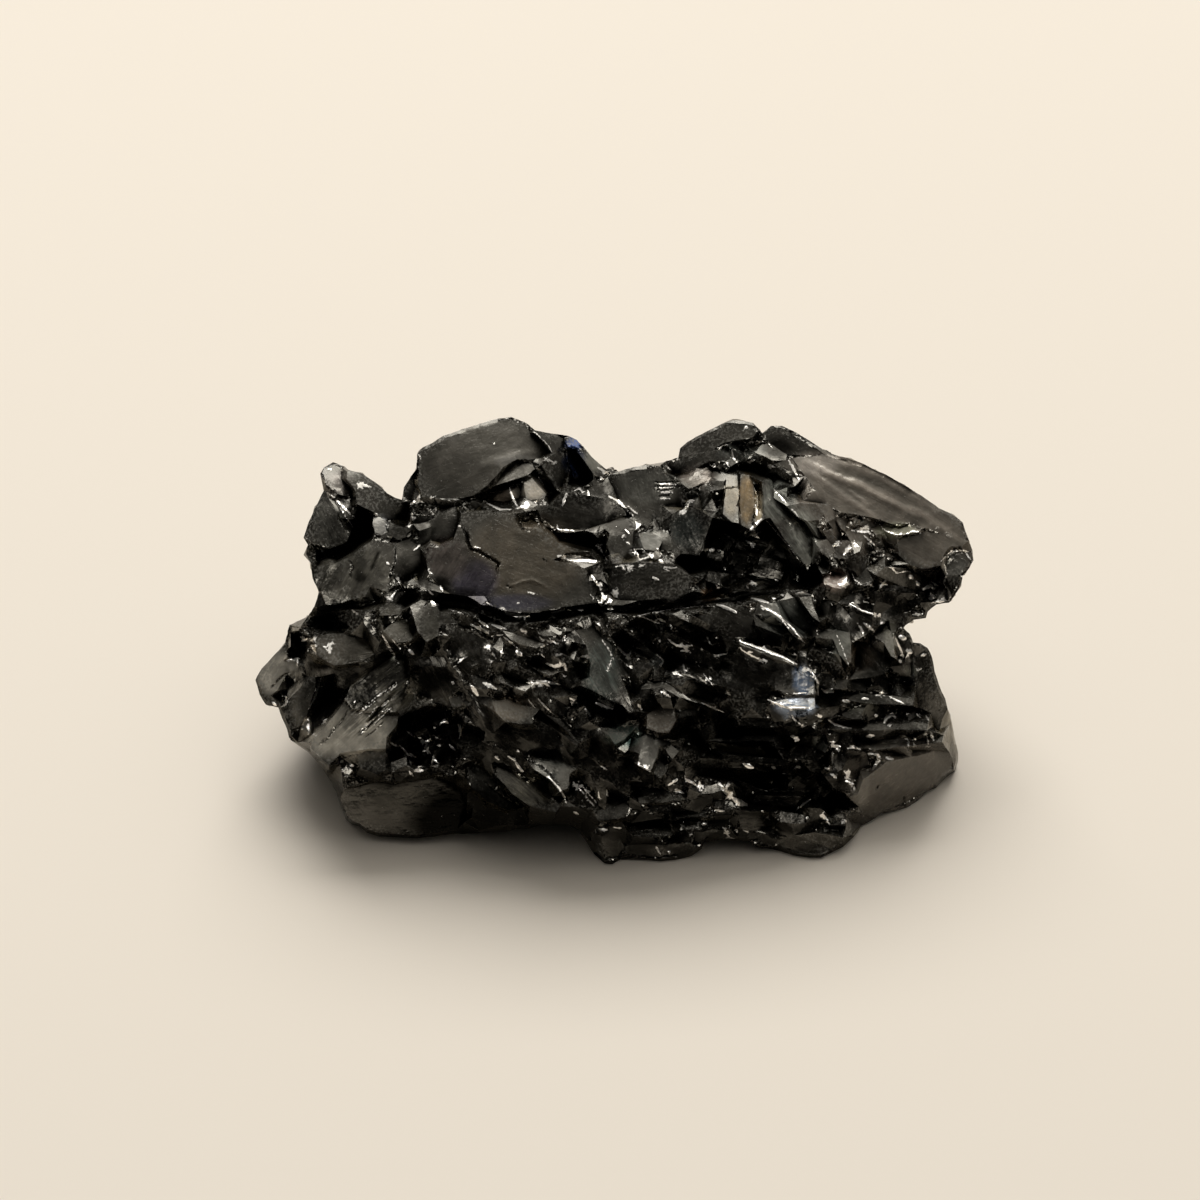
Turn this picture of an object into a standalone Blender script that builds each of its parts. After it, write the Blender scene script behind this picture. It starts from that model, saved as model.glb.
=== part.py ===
"""A rough lump of noble shungite, black and glassy, as it broke from the seam.

The stone is one solid. It is drawn in slanted coordinates, in millimetres: `across` runs left to right,
`rise` runs up a plane that leans back by LEAN, and `height` is the height above the surface that the stone
rests on. A point's depth follows from its rise and its height. In that frame the stone is two sheets that
share one outline: a show sheet, which faces up and forward, and a hidden sheet, which holds the back wall
and the underside.

Each sheet is a smooth swell, given by a coarse table of heights, with hollows sunk into it, and broken up
by facets. A facet is a flat or gently domed break: an outline with a lift off the swell and two slopes. The
big ones are placed one by one. Between them lie flakes, laid in rows along the grain, which follow the same
rule with seeded random slopes.
"""

import math
import random

import bmesh
import bpy
import numpy as np
from mathutils import Vector
from mathutils.geometry import delaunay_2d_cdt

MM = 0.001
NODE = "shungite_stone"
SEED = 7
LEAN = math.radians(45)

# The swell: heights of the show sheet and of the hidden sheet, in mm, at these stations.
ACROSS_STATIONS = (-40, -30, -20, -10, 0, 10, 20, 30, 40)
RISE_STATIONS = (0, 7, 14, 21, 28, 35, 42, 49)
SHOW_SWELL = (
    (0.0, 0.0, 0.0, 0.0, 0.0, 0.0, 0.0, 0.0, 0.0),
    (2.0, 6.0, 6.5, 7.5, 8.5, 7.5, 6.5, 3.0, 1.0),
    (6.0, 11.5, 13.5, 14.5, 15.0, 14.0, 13.0, 9.5, 6.0),
    (11.0, 17.0, 19.5, 20.5, 20.5, 19.5, 18.5, 15.5, 12.0),
    (17.0, 22.5, 24.5, 25.5, 25.0, 24.5, 23.5, 21.0, 17.0),
    (21.0, 25.5, 27.0, 27.5, 27.0, 28.0, 28.0, 25.5, 22.0),
    (24.0, 27.5, 29.0, 30.0, 29.0, 30.0, 30.0, 27.5, 24.0),
    (26.0, 29.0, 31.0, 32.0, 31.0, 32.0, 31.5, 28.5, 25.0),
)
HIDDEN_SWELL = (
    (0.0, 0.0, 0.0, 0.0, 0.0, 0.0, 0.0, 0.0, 0.0),
    (1.0, 0.0, 0.0, 0.0, 0.0, 0.0, 0.0, 0.0, 0.0),
    (5.0, 0.5, 0.0, 0.0, 0.0, 0.0, 0.0, 0.0, 4.0),
    (9.5, 3.0, 0.0, 0.0, 0.0, 0.0, 0.0, 4.0, 10.0),
    (15.0, 9.0, 4.0, 3.0, 3.5, 3.5, 4.5, 9.0, 15.0),
    (20.0, 16.0, 12.0, 11.0, 11.5, 11.0, 12.0, 15.5, 20.0),
    (23.5, 23.0, 21.0, 20.0, 20.5, 20.0, 21.0, 22.5, 23.5),
    (26.0, 29.0, 30.0, 31.0, 30.0, 31.0, 30.5, 28.5, 25.0),
)

# The outline that the two sheets share, clockwise from the tip of the left horn: (across, rise), or
# (across, rise, height) where the edge stands on or near the surface below.
OUTLINE = (
    (-31.3, 44.2), (-30.2, 43.8), (-29.5, 43.3), (-28.0, 42.9), (-26.5, 41.9), (-25.2, 40.7), (-24.3, 40.2),
    (-23.6, 40.0), (-23.4, 41.4), (-22.8, 42.3), (-22.0, 43.4), (-21.9, 45.1), (-21.3, 45.8), (-20.2, 46.3),
    (-19.0, 47.1), (-17.5, 47.6), (-15.0, 48.4), (-13.0, 49.0), (-11.5, 49.2), (-10.0, 48.6), (-8.9, 47.7),
    (-6.5, 47.3), (-5.2, 47.1), (-4.3, 46.7), (-3.2, 45.5), (-2.0, 44.2), (-1.0, 43.4), (-0.5, 43.6),
    (0.3, 43.1), (2.0, 43.6), (3.5, 43.8), (5.5, 44.2), (7.0, 44.7), (7.2, 45.7), (8.0, 46.4), (9.0, 47.0),
    (10.0, 47.5), (11.0, 48.0), (12.0, 48.5), (13.0, 48.8), (14.5, 48.7), (15.3, 48.5), (16.0, 47.7),
    (16.3, 47.4), (17.3, 48.2), (18.5, 48.2), (20.0, 47.5), (21.3, 46.7), (22.5, 45.9), (24.0, 45.0),
    (25.5, 44.7), (27.5, 44.0), (30.0, 42.8), (32.0, 41.7), (34.0, 40.4), (35.8, 39.1), (36.9, 38.6),
    (37.9, 38.0), (38.5, 37.5), (38.8, 36.5), (39.2, 35.5), (39.6, 34.4), (39.7, 33.3), (39.2, 32.4),
    (38.5, 31.6), (38.3, 30.6), (37.7, 29.6), (37.0, 28.6), (35.6, 28.4), (34.6, 27.6), (34.4, 26.9),
    (33.0, 26.7), (32.1, 26.1), (31.9, 25.8), (32.3, 25.4), (32.8, 24.7), (33.0, 24.2), (33.8, 24.1),
    (34.6, 23.6), (35.1, 22.6), (35.4, 21.0), (35.9, 19.5), (36.6, 18.0), (36.9, 16.8), (37.5, 15.2, 4.5),
    (37.8, 13.6, 3.2), (38.2, 12.0, 1.6), (38.2, 10.9, 0.6), (37.9, 9.9, 0.0), (36.8, 9.1, 0.0),
    (35.8, 8.1, 0.0), (34.8, 7.7, 0.3), (33.5, 6.5, 0.0), (32.3, 5.8, 0.0), (31.0, 5.4, 0.0),
    (29.6, 5.3, 0.3), (28.9, 4.7, 0.0), (27.3, 3.9, 0.3), (26.5, 2.7, 0.0), (25.3, 1.6, 0.0),
    (23.9, 0.9, 0.0), (22.8, 0.4, 0.0), (21.5, 0.4, 0.0), (19.5, 0.7, 0.0), (17.5, 1.3, 0.0),
    (16.0, 1.5, 0.4), (14.8, 2.2, 1.2), (13.5, 2.4, 1.6), (12.0, 2.5, 1.6), (9.8, 2.1, 1.0),
    (9.6, 1.4, 0.4), (8.5, 0.6, 0.0), (7.0, 0.2, 0.0), (5.0, 0.0, 0.0), (2.5, 0.3, 0.3), (0.6, 0.2, 0.0),
    (-0.3, -0.3, 0.0), (-1.2, -0.2, 0.0), (-2.4, 0.9, 0.2), (-3.2, 2.2, 0.8), (-3.8, 3.0, 1.4),
    (-4.0, 3.4, 1.8), (-5.0, 3.9, 2.4), (-7.0, 3.9, 2.2), (-9.5, 3.7, 1.9), (-12.0, 3.3, 1.3),
    (-15.0, 3.1, 0.6), (-17.5, 3.0, 0.0), (-20.0, 2.7, 0.0), (-22.0, 2.5, 0.0), (-24.0, 2.6, 0.0),
    (-26.2, 2.7, 0.0), (-27.5, 3.1, 0.0), (-28.4, 3.8, 0.0), (-29.2, 4.0, 0.0), (-29.9, 4.6, 0.0),
    (-30.4, 5.8, 0.6), (-30.8, 7.0, 1.6), (-31.2, 8.0, 2.4), (-31.9, 9.3, 3.4), (-33.0, 10.9, 4.8),
    (-34.0, 12.0, 5.8), (-35.3, 12.9, 6.8), (-36.1, 13.7), (-36.3, 14.6), (-36.9, 15.9), (-37.3, 17.0),
    (-38.7, 17.3), (-39.4, 18.4), (-39.9, 20.0), (-39.2, 21.3), (-38.0, 22.6), (-36.6, 24.2), (-36.1, 26.1),
    (-33.9, 27.2), (-33.2, 28.2), (-32.7, 29.8), (-33.4, 31.3), (-33.6, 33.0), (-34.5, 33.9), (-34.0, 35.0),
    (-34.5, 35.8), (-34.0, 37.4), (-33.3, 39.0), (-32.3, 41.0), (-32.7, 42.9), (-32.3, 43.6),
)

# Facets of the show sheet: name, lift off the swell at the middle, slope across, slope up the rise, dome,
# outline. A slope up of 0.35 lies flat enough to catch the light from above, one of 0.75 faces forward and
# up, and one of 1.3 stands nearly upright.
SHOW_FACETS = (
    # the horn at the back left, with its pocket and chips
    ("horn_left", 0.0, 0.35, 0.35, 0.4, ((-32.3, 40.6), (-33.1, 38.8), (-33.7, 37.2), (-34.1, 35.9),
     (-33.6, 35.2), (-31.6, 34.6), (-30.1, 35.1), (-29.3, 36.2), (-30.4, 38.0), (-31.8, 40.2))),
    ("horn_oval", 0.4, 0.05, 0.22, 0.2, ((-32.3, 42.8), (-31.8, 43.3), (-30.4, 42.4), (-29.2, 41.1),
     (-29.4, 40.3), (-30.9, 40.7), (-32.0, 41.7))),
    ("horn_right", 0.2, -0.35, 0.4, 0.5, ((-29.0, 42.8), (-28.0, 42.5), (-26.5, 41.4), (-25.0, 40.2),
     (-23.8, 39.6), (-22.8, 39.1), (-23.1, 37.7), (-24.4, 37.8), (-26.8, 38.7), (-28.5, 39.5),
     (-28.7, 41.0), (-29.7, 42.3))),
    ("horn_pocket", -2.5, 0.0, 0.8, 0.0, ((-28.3, 38.9), (-27.1, 38.1), (-27.1, 36.4), (-28.7, 34.9),
     (-30.8, 33.6), (-32.3, 33.9), (-30.9, 34.6), (-29.6, 34.9), (-28.9, 36.3), (-28.9, 37.7))),
    ("horn_chip", 0.1, -0.05, 0.2, 0.2, ((-26.7, 38.2), (-26.1, 38.1), (-25.4, 37.5), (-25.3, 36.6),
     (-25.8, 36.0), (-26.5, 36.4), (-26.8, 37.3))),
    ("horn_chip_small", 0.1, 0.0, 0.35, 0.1, ((-24.9, 37.5), (-24.2, 37.2), (-24.0, 36.4), (-24.6, 35.9),
     (-25.0, 36.4))),
    ("shoulder", 0.0, 0.1, 0.5, 0.7, ((-32.9, 32.5), (-31.0, 32.9), (-29.4, 33.5), (-28.2, 34.5),
     (-26.8, 35.5), (-25.0, 35.2), (-24.4, 33.4), (-25.0, 31.6), (-27.0, 30.4), (-29.0, 29.0),
     (-30.8, 28.4), (-31.9, 28.4), (-32.2, 29.9), (-32.9, 31.4))),
    ("shoulder_right", -0.5, -0.05, 0.45, 0.4, ((-24.2, 35.2), (-22.8, 35.6), (-21.5, 34.8), (-21.4, 33.0),
     (-21.9, 31.5), (-23.4, 30.8), (-24.6, 31.5), (-24.1, 33.4))),
    # the dome, its fin, the cave under the fin and the blue chip beside it
    ("dome", 0.0, 0.0, 0.42, 1.2, ((-21.6, 45.0), (-20.9, 45.6), (-19.9, 46.1), (-18.9, 46.7),
     (-17.2, 47.3), (-15.0, 48.0), (-13.0, 48.6), (-11.6, 48.8), (-10.6, 48.4), (-9.5, 47.5), (-8.3, 46.2),
     (-7.5, 45.2), (-8.8, 44.5), (-10.9, 44.5), (-12.4, 43.6), (-14.1, 41.6), (-15.6, 40.5), (-17.5, 40.1),
     (-20.0, 40.2), (-21.3, 40.3), (-21.8, 41.6), (-21.7, 43.4))),
    ("dome_fin", -0.2, 0.05, 0.24, 0.1, ((-13.6, 41.4), (-12.1, 43.2), (-10.9, 44.1), (-9.2, 44.1),
     (-8.9, 43.4), (-9.7, 42.7), (-12.0, 42.0))),
    ("dome_left", -0.8, 0.5, 0.4, 0.1, ((-22.2, 43.0), (-22.7, 42.1), (-23.2, 41.2), (-23.2, 40.3),
     (-22.6, 39.9), (-22.1, 41.3))),
    ("dome_right", -0.3, -0.5, 0.4, 0.4, ((-8.8, 47.3), (-6.6, 47.0), (-5.7, 46.8), (-5.7, 45.2),
     (-5.0, 43.2), (-6.0, 41.4), (-6.6, 41.2), (-7.4, 42.6), (-8.2, 43.9), (-6.9, 45.1), (-7.8, 46.4))),
    ("blue_chip", 0.3, -0.3, 0.1, 0.1, ((-5.4, 46.7), (-4.6, 46.6), (-3.7, 45.8), (-4.2, 45.6),
     (-5.2, 45.9))),
    ("blue_hollow", -0.8, -0.2, 0.7, -0.2, ((-5.4, 45.4), (-4.4, 45.1), (-3.1, 43.6), (-2.7, 42.7),
     (-4.6, 42.3), (-4.8, 43.2))),
    ("dome_bevel", 0.4, -0.6, 0.2, 0.0, ((-4.0, 45.1), (-3.5, 45.2), (-2.3, 43.8), (-1.0, 43.0),
     (-1.3, 42.6), (-2.4, 42.9))),
    ("cave_chip", -0.5, -0.1, 0.26, 0.1, ((-10.1, 42.3), (-9.2, 42.4), (-8.2, 41.2), (-7.6, 40.6),
     (-8.6, 40.0), (-9.8, 40.1), (-10.0, 41.0))),
    ("cave_strip", -0.9, 0.1, 0.3, 0.1, ((-14.3, 40.5), (-12.6, 41.3), (-11.2, 41.8), (-10.5, 41.2),
     (-10.6, 40.2), (-12.3, 39.8), (-13.8, 39.9))),
    ("cave_slit", -1.6, 0.0, 0.8, 0.0, ((-8.8, 42.9), (-7.9, 42.1), (-6.9, 40.9), (-7.2, 40.7),
     (-8.0, 41.8))),
    # the broad flat break in the middle, with the scars round it
    ("table", 0.3, 0.02, 0.46, 0.3, ((-17.0, 38.5), (-14.1, 38.8), (-12.6, 38.3), (-11.2, 38.4),
     (-10.8, 37.2), (-9.9, 36.6), (-8.3, 36.8), (-7.0, 35.9), (-6.3, 35.2), (-4.5, 34.6), (-2.8, 34.2),
     (-5.4, 34.1), (-6.9, 33.3), (-4.0, 32.6), (-3.4, 32.4), (-2.9, 31.0), (-2.3, 29.5), (-1.9, 28.6),
     (-6.0, 28.1), (-9.0, 27.5), (-11.4, 27.6), (-13.4, 28.2), (-14.1, 28.9), (-12.9, 31.2), (-12.8, 32.4),
     (-13.0, 33.3), (-14.4, 34.1), (-15.8, 34.6), (-16.0, 35.9), (-16.6, 37.0), (-17.0, 37.6))),
    ("table_left", 0.2, 0.1, 0.5, 0.3, ((-17.4, 36.8), (-16.9, 36.4), (-16.4, 35.5), (-16.3, 34.2),
     (-14.9, 33.6), (-13.4, 32.8), (-13.2, 31.3), (-14.4, 29.3), (-16.2, 29.3), (-18.2, 29.6),
     (-19.4, 30.4), (-20.5, 31.7), (-20.8, 33.5), (-20.4, 34.7), (-19.4, 34.7), (-17.9, 35.4))),
    ("table_fan", 0.0, 0.25, 0.36, 0.2, ((-20.1, 37.1), (-18.6, 38.3), (-17.4, 38.6), (-17.4, 37.5),
     (-17.9, 35.9), (-19.3, 35.2), (-20.4, 35.5))),
    ("table_hollow", -1.1, 0.0, 0.85, 0.0, ((-6.6, 36.2), (-5.0, 36.0), (-2.6, 35.7), (-1.2, 35.2),
     (-1.2, 33.6), (-2.4, 34.6), (-4.4, 35.1), (-6.0, 35.6))),
    ("table_sliver", 0.4, 0.0, 0.05, 0.0, ((-6.4, 33.3), (-5.4, 33.8), (-3.5, 33.7), (-2.0, 33.3),
     (-1.9, 33.0), (-4.0, 33.0))),
    ("brow", 0.0, -0.1, 0.62, 0.5, ((-5.8, 40.7), (-4.0, 40.6), (-1.2, 40.1), (0.4, 39.4), (1.5, 38.4),
     (0.1, 37.8), (-1.6, 37.2), (-3.4, 36.6), (-6.4, 36.8), (-8.2, 38.1), (-8.6, 38.9), (-7.3, 39.3))),
    ("brow_chip", 0.3, -0.1, 0.3, 0.0, ((-2.4, 42.2), (-1.5, 41.7), (-0.8, 41.0), (-1.6, 41.0),
     (-2.4, 41.5))),
    ("saddle", 0.3, 0.12, 0.48, 0.4, ((-0.5, 42.8), (1.0, 42.9), (3.5, 43.4), (4.9, 43.7), (5.2, 43.1),
     (6.3, 41.8), (7.4, 40.8), (7.7, 39.8), (5.2, 39.3), (3.0, 38.8), (1.4, 39.8), (-0.2, 41.3))),
    ("band", 0.2, 0.0, 0.6, 0.2, ((-0.3, 32.9), (2.5, 33.1), (6.4, 32.9), (8.4, 31.5), (8.1, 29.7),
     (5.6, 29.1), (2.4, 28.8), (0.2, 28.9), (-0.5, 30.5))),
    ("band_chip", 0.3, -0.05, 0.25, 0.1, ((2.6, 36.2), (4.2, 36.5), (5.3, 35.6), (4.6, 34.3), (3.2, 34.5))),
    ("band_teal", 0.0, 0.1, 0.6, 0.2, ((6.3, 38.4), (8.6, 39.2), (10.7, 38.0), (9.8, 35.4), (9.2, 33.8),
     (7.2, 34.0), (6.1, 35.8))),
    # the crown, with the golden plates under it
    ("crown_left", 0.0, 0.2, 0.5, 0.4, ((7.4, 45.4), (8.2, 46.1), (10.0, 47.1), (12.0, 48.1), (13.0, 48.4),
     (14.5, 48.3), (15.5, 47.5), (15.2, 46.9), (13.5, 46.6), (12.0, 46.3), (10.9, 45.6), (10.4, 44.3),
     (9.0, 43.5), (7.4, 42.9), (6.6, 42.9), (5.8, 43.9), (7.2, 44.4))),
    ("crown_bevel", 0.1, -0.2, 0.22, 0.0, ((7.1, 42.3), (8.6, 42.6), (10.3, 43.7), (10.8, 43.3),
     (10.7, 42.5), (8.1, 41.2), (7.4, 41.7))),
    ("crown_pocket", -1.1, 0.0, 0.8, 0.0, ((13.3, 43.5), (14.0, 43.8), (16.4, 43.8), (16.9, 43.0),
     (18.0, 42.4), (17.4, 42.3), (16.5, 42.7), (15.0, 43.2))),
    ("gold_left", 0.3, 0.1, 0.1, 0.1, ((12.3, 42.3), (13.5, 42.7), (13.6, 40.0), (13.6, 37.4), (12.9, 37.5),
     (11.9, 38.4), (12.0, 39.3), (12.2, 40.6))),
    ("gold_middle", 0.1, -0.2, 0.3, 0.1, ((13.9, 42.8), (14.8, 42.7), (15.3, 41.6), (15.4, 39.5),
     (15.1, 37.4), (14.6, 36.8), (13.9, 37.2))),
    ("gold_right", 0.2, -0.3, 0.05, 0.0, ((15.6, 41.4), (15.8, 39.5), (16.1, 37.9), (15.6, 37.2),
     (15.4, 37.5), (15.7, 39.0))),
    ("cheek", -0.4, -0.25, 0.45, -0.3, ((16.2, 42.0), (16.9, 41.8), (17.5, 40.2), (19.2, 38.6),
     (20.8, 37.4), (21.7, 36.0), (21.6, 33.0), (21.0, 32.8), (20.0, 33.5), (18.2, 36.4), (17.1, 38.0),
     (16.4, 39.8))),
    ("crown_plate", 0.2, -0.1, 0.5, 0.1, ((18.9, 39.3), (20.5, 39.6), (22.1, 39.5), (23.1, 38.4),
     (22.6, 37.8), (21.2, 37.6), (20.0, 38.2))),
    # the wing, a long shell-like break
    ("wing_plate", 0.2, 0.1, 0.5, 0.2, ((16.7, 47.0), (17.4, 47.7), (18.4, 47.7), (19.9, 47.0),
     (21.1, 46.3), (22.2, 45.5), (23.2, 45.0), (21.3, 44.9), (19.0, 45.0), (17.8, 45.8), (17.0, 46.4))),
    ("wing", 0.3, -0.15, 0.42, 1.0, ((19.6, 44.6), (21.5, 44.7), (24.2, 44.6), (27.2, 43.6), (29.6, 42.4),
     (31.6, 41.3), (33.6, 40.0), (35.4, 38.7), (37.4, 37.7), (38.0, 37.0), (38.4, 36.3), (38.7, 35.6),
     (36.5, 36.2), (34.3, 36.9), (32.6, 37.5), (30.6, 37.3), (29.3, 37.8), (27.0, 38.3), (25.0, 38.6),
     (23.4, 39.5), (22.2, 41.0), (21.0, 42.6), (20.3, 43.6))),
    ("wing_low", 1.1, -0.15, 0.52, 0.3, ((34.4, 36.5), (36.6, 35.9), (38.7, 35.2), (38.3, 34.8),
     (37.0, 34.8), (36.2, 33.7), (35.9, 32.7), (34.0, 32.3), (32.4, 32.9), (31.4, 33.8), (31.2, 35.1),
     (31.7, 35.8), (32.2, 35.9))),
    ("wing_olive", 0.9, 0.0, 0.3, 0.0, ((29.3, 37.4), (30.6, 36.9), (32.4, 37.1), (33.8, 36.7),
     (33.7, 36.5), (32.1, 36.2), (31.2, 36.1), (29.7, 36.5))),
    ("wing_tip", 1.3, -0.3, 0.6, 0.4, ((36.8, 34.0), (37.6, 34.5), (38.6, 34.1), (39.1, 33.3), (38.7, 32.5),
     (38.1, 31.7), (37.8, 30.6), (37.1, 30.4), (36.6, 31.6))),
    ("peach_chip", 0.3, -0.05, 0.2, 0.1, ((23.0, 31.4), (24.1, 31.8), (25.6, 31.6), (25.4, 30.8),
     (24.9, 30.1), (24.0, 30.3), (23.0, 30.8))),
    ("grey_lens", 0.1, 0.1, 0.3, -0.1, ((26.0, 31.8), (26.8, 31.4), (28.5, 31.1), (28.0, 30.6),
     (26.6, 30.7), (26.1, 31.2))),
    # the left lobe
    ("lobe_tip", 0.3, 0.4, 0.42, 0.2, ((-36.8, 23.8), (-37.8, 22.6), (-38.7, 21.4), (-39.3, 20.0),
     (-39.0, 19.0), (-38.2, 18.3), (-37.4, 18.9), (-36.3, 20.9), (-35.5, 22.1), (-36.1, 22.3),
     (-36.8, 22.2), (-36.4, 23.3))),
    ("lobe_slit", -1.5, 0.0, 0.8, 0.0, ((-36.0, 25.4), (-35.3, 24.4), (-35.0, 23.1), (-36.2, 22.6),
     (-35.7, 23.7))),
    ("lobe_left", 1.0, 0.45, 0.6, 0.3, ((-34.0, 19.9), (-33.1, 19.9), (-33.5, 18.1), (-34.1, 16.1),
     (-35.0, 14.9), (-35.9, 14.5), (-36.5, 15.9), (-36.2, 17.8), (-35.2, 18.8))),
    ("lobe_hollow", -1.4, 0.1, 0.8, -0.3, ((-32.5, 19.9), (-31.2, 19.7), (-30.7, 18.6), (-30.3, 18.0),
     (-31.4, 16.3), (-32.1, 15.4), (-33.4, 14.7), (-33.6, 16.0), (-33.1, 18.0))),
    ("lobe_chip", 0.2, 0.2, 0.64, 0.0, ((-33.9, 15.7), (-33.8, 14.7), (-34.2, 14.4), (-34.8, 14.7),
     (-34.5, 15.4))),
    ("lobe_face", 0.9, 0.06, 0.5, 0.3, ((-29.9, 17.7), (-29.3, 16.7), (-27.5, 16.4), (-25.2, 16.2),
     (-23.9, 16.1), (-24.1, 15.1), (-25.2, 13.8), (-25.3, 12.5), (-27.0, 12.5), (-28.6, 12.3),
     (-30.3, 12.0), (-31.5, 10.7), (-32.3, 11.3), (-33.5, 12.5), (-33.5, 13.2), (-32.3, 14.5),
     (-31.1, 16.0))),
    ("lobe_ribs", -0.6, 0.12, 0.6, 0.3, ((-30.3, 18.0), (-29.2, 19.4), (-27.0, 21.0), (-24.6, 22.8),
     (-23.2, 22.6), (-22.6, 20.8), (-23.3, 18.6), (-23.9, 16.6), (-25.2, 16.5), (-27.5, 16.7),
     (-29.1, 17.0), (-29.8, 18.0))),
    ("lobe_brown", 0.9, -0.1, 0.6, 0.1, ((-28.6, 11.9), (-27.0, 12.2), (-25.4, 12.1), (-25.3, 10.2),
     (-26.2, 9.6), (-28.1, 10.4))),
    ("lobe_glint", 0.2, 0.2, 0.64, 0.0, ((-30.4, 10.8), (-30.0, 11.3), (-28.7, 10.5), (-29.4, 9.6),
     (-30.2, 10.0))),
    ("lobe_spark", 0.2, 0.2, 0.64, 0.0, ((-22.3, 10.5), (-21.2, 10.6), (-20.9, 10.2), (-21.4, 9.9),
     (-22.2, 9.9))),
    ("foot_left", -1.5, 0.05, 1.02, 0.6, ((-30.4, 7.0), (-30.0, 7.8), (-28.0, 8.3), (-26.2, 8.8),
     (-24.4, 8.5), (-22.5, 8.8), (-20.0, 9.3), (-17.8, 8.7), (-16.7, 7.0), (-16.4, 5.0), (-17.5, 3.5),
     (-20.0, 3.1), (-22.0, 2.9), (-24.0, 3.0), (-26.2, 3.1), (-27.4, 3.5), (-28.3, 4.2), (-29.0, 4.4),
     (-29.6, 5.1), (-30.0, 6.0))),
    ("lobe_top", 0.3, 0.1, 0.4, 0.3, ((-33.3, 24.6), (-31.6, 25.2), (-29.9, 25.2), (-27.8, 24.7),
     (-26.5, 22.9), (-28.0, 22.1), (-30.9, 21.7), (-32.8, 22.7))),
    ("lobe_pit", -1.3, 0.0, 0.75, 0.0, ((-34.0, 26.5), (-32.5, 26.8), (-30.8, 26.7), (-30.6, 25.9),
     (-32.0, 25.8), (-33.6, 25.8))),
    ("tile_back", 0.2, 0.0, 0.4, 0.0, ((-26.0, 27.9), (-24.0, 28.1), (-23.7, 27.3), (-25.8, 27.2))),
    ("tile_front", 0.3, -0.1, 0.35, 0.1, ((-25.5, 25.5), (-24.6, 26.3), (-23.0, 26.8), (-22.1, 25.6),
     (-22.5, 24.4), (-24.0, 24.2))),
    ("smooth_neck", 0.4, -0.1, 0.3, 0.3, ((-22.6, 28.2), (-21.3, 27.9), (-19.8, 26.9), (-19.4, 25.8),
     (-19.5, 25.0), (-20.8, 24.3), (-21.7, 25.4), (-22.2, 27.2))),
    # the front, left of the middle: slabs that run down to the right
    ("mid_plate", 0.3, -0.1, 0.38, 0.2, ((-13.7, 18.2), (-11.6, 18.0), (-10.2, 17.3), (-9.1, 16.0),
     (-9.1, 15.3), (-10.5, 15.3), (-12.1, 15.5), (-13.1, 16.5))),
    ("curtain", 0.6, -0.25, 0.5, 0.3, ((-3.3, 25.7), (-2.5, 26.0), (-1.5, 24.8), (-0.3, 22.6), (0.5, 20.6),
     (1.7, 17.6), (2.0, 16.6), (1.5, 16.5), (0.9, 17.3), (-0.9, 18.1), (-2.5, 19.0), (-3.8, 19.5),
     (-3.7, 19.9), (-2.8, 20.4), (-2.7, 22.0), (-3.2, 24.0))),
    ("curtain_hollow", -1.8, 0.0, 0.8, -0.2, ((-3.9, 18.7), (-2.6, 18.2), (-0.9, 17.3), (0.9, 16.5),
     (1.6, 15.8), (0.0, 15.6), (-2.2, 16.6), (-3.7, 17.8))),
    ("slab_light", 0.5, -0.15, 0.45, 0.3, ((-13.1, 10.7), (-11.4, 9.9), (-9.8, 8.6), (-7.1, 7.3),
     (-6.0, 6.2), (-6.5, 5.5), (-9.4, 6.2), (-11.4, 7.6), (-13.0, 9.4))),
    ("slab_dark", 0.2, -0.1, 0.6, 0.2, ((-16.2, 10.5), (-15.2, 10.6), (-13.6, 9.2), (-12.0, 7.0),
     (-10.5, 5.9), (-12.0, 5.8), (-14.0, 6.6), (-15.9, 8.3))),
    ("slab_lens", 0.6, -0.1, 0.25, 0.3, ((-9.6, 11.0), (-8.7, 12.0), (-7.0, 12.0), (-5.7, 11.0),
     (-5.0, 9.8), (-5.2, 8.2), (-6.1, 7.8), (-7.3, 9.2), (-8.8, 10.2))),
    ("fin_face", -0.3, -0.1, 0.8, 0.1, ((-4.8, 9.0), (-4.0, 9.3), (-2.5, 7.7), (-1.8, 6.2), (-2.4, 5.7),
     (-4.3, 6.1), (-5.1, 7.6))),
    ("base_plate", 0.0, 0.0, 0.5, 0.1, ((-0.2, 7.1), (1.1, 6.6), (1.6, 6.0), (1.2, 5.0), (-0.5, 4.7),
     (-1.9, 4.6), (-1.1, 5.8))),
    ("base_spark", 0.2, -0.27, 0.63, 0.0, ((-1.8, 3.8), (-0.8, 3.9), (-0.9, 3.4), (-1.6, 3.2))),
    ("foot_middle", 0.1, 0.0, 1.2, 0.2, ((-2.6, 2.3), (-1.5, 2.7), (0.4, 2.8), (1.0, 1.6), (0.3, 0.6),
     (-0.4, 0.2), (-1.2, 0.3), (-2.1, 1.2))),
    ("foot_second", 0.2, 0.0, 1.15, 0.1, ((1.5, 1.8), (3.5, 1.9), (5.5, 1.8), (8.4, 2.0), (9.0, 1.5),
     (8.3, 1.0), (7.0, 0.7), (5.0, 0.5), (2.6, 0.7), (1.4, 0.8))),
    # the front, right of the middle: tiles, blades and ledges
    ("teal_chip", 0.2, 0.05, 0.3, 0.1, ((-0.6, 13.9), (0.1, 14.7), (1.9, 15.1), (2.7, 15.6), (2.3, 14.9),
     (1.0, 13.6), (0.0, 13.0))),
    ("teal_tip", 0.3, -0.27, 0.63, 0.0, ((0.3, 12.6), (1.1, 13.1), (1.4, 12.4), (1.1, 12.1))),
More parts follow.
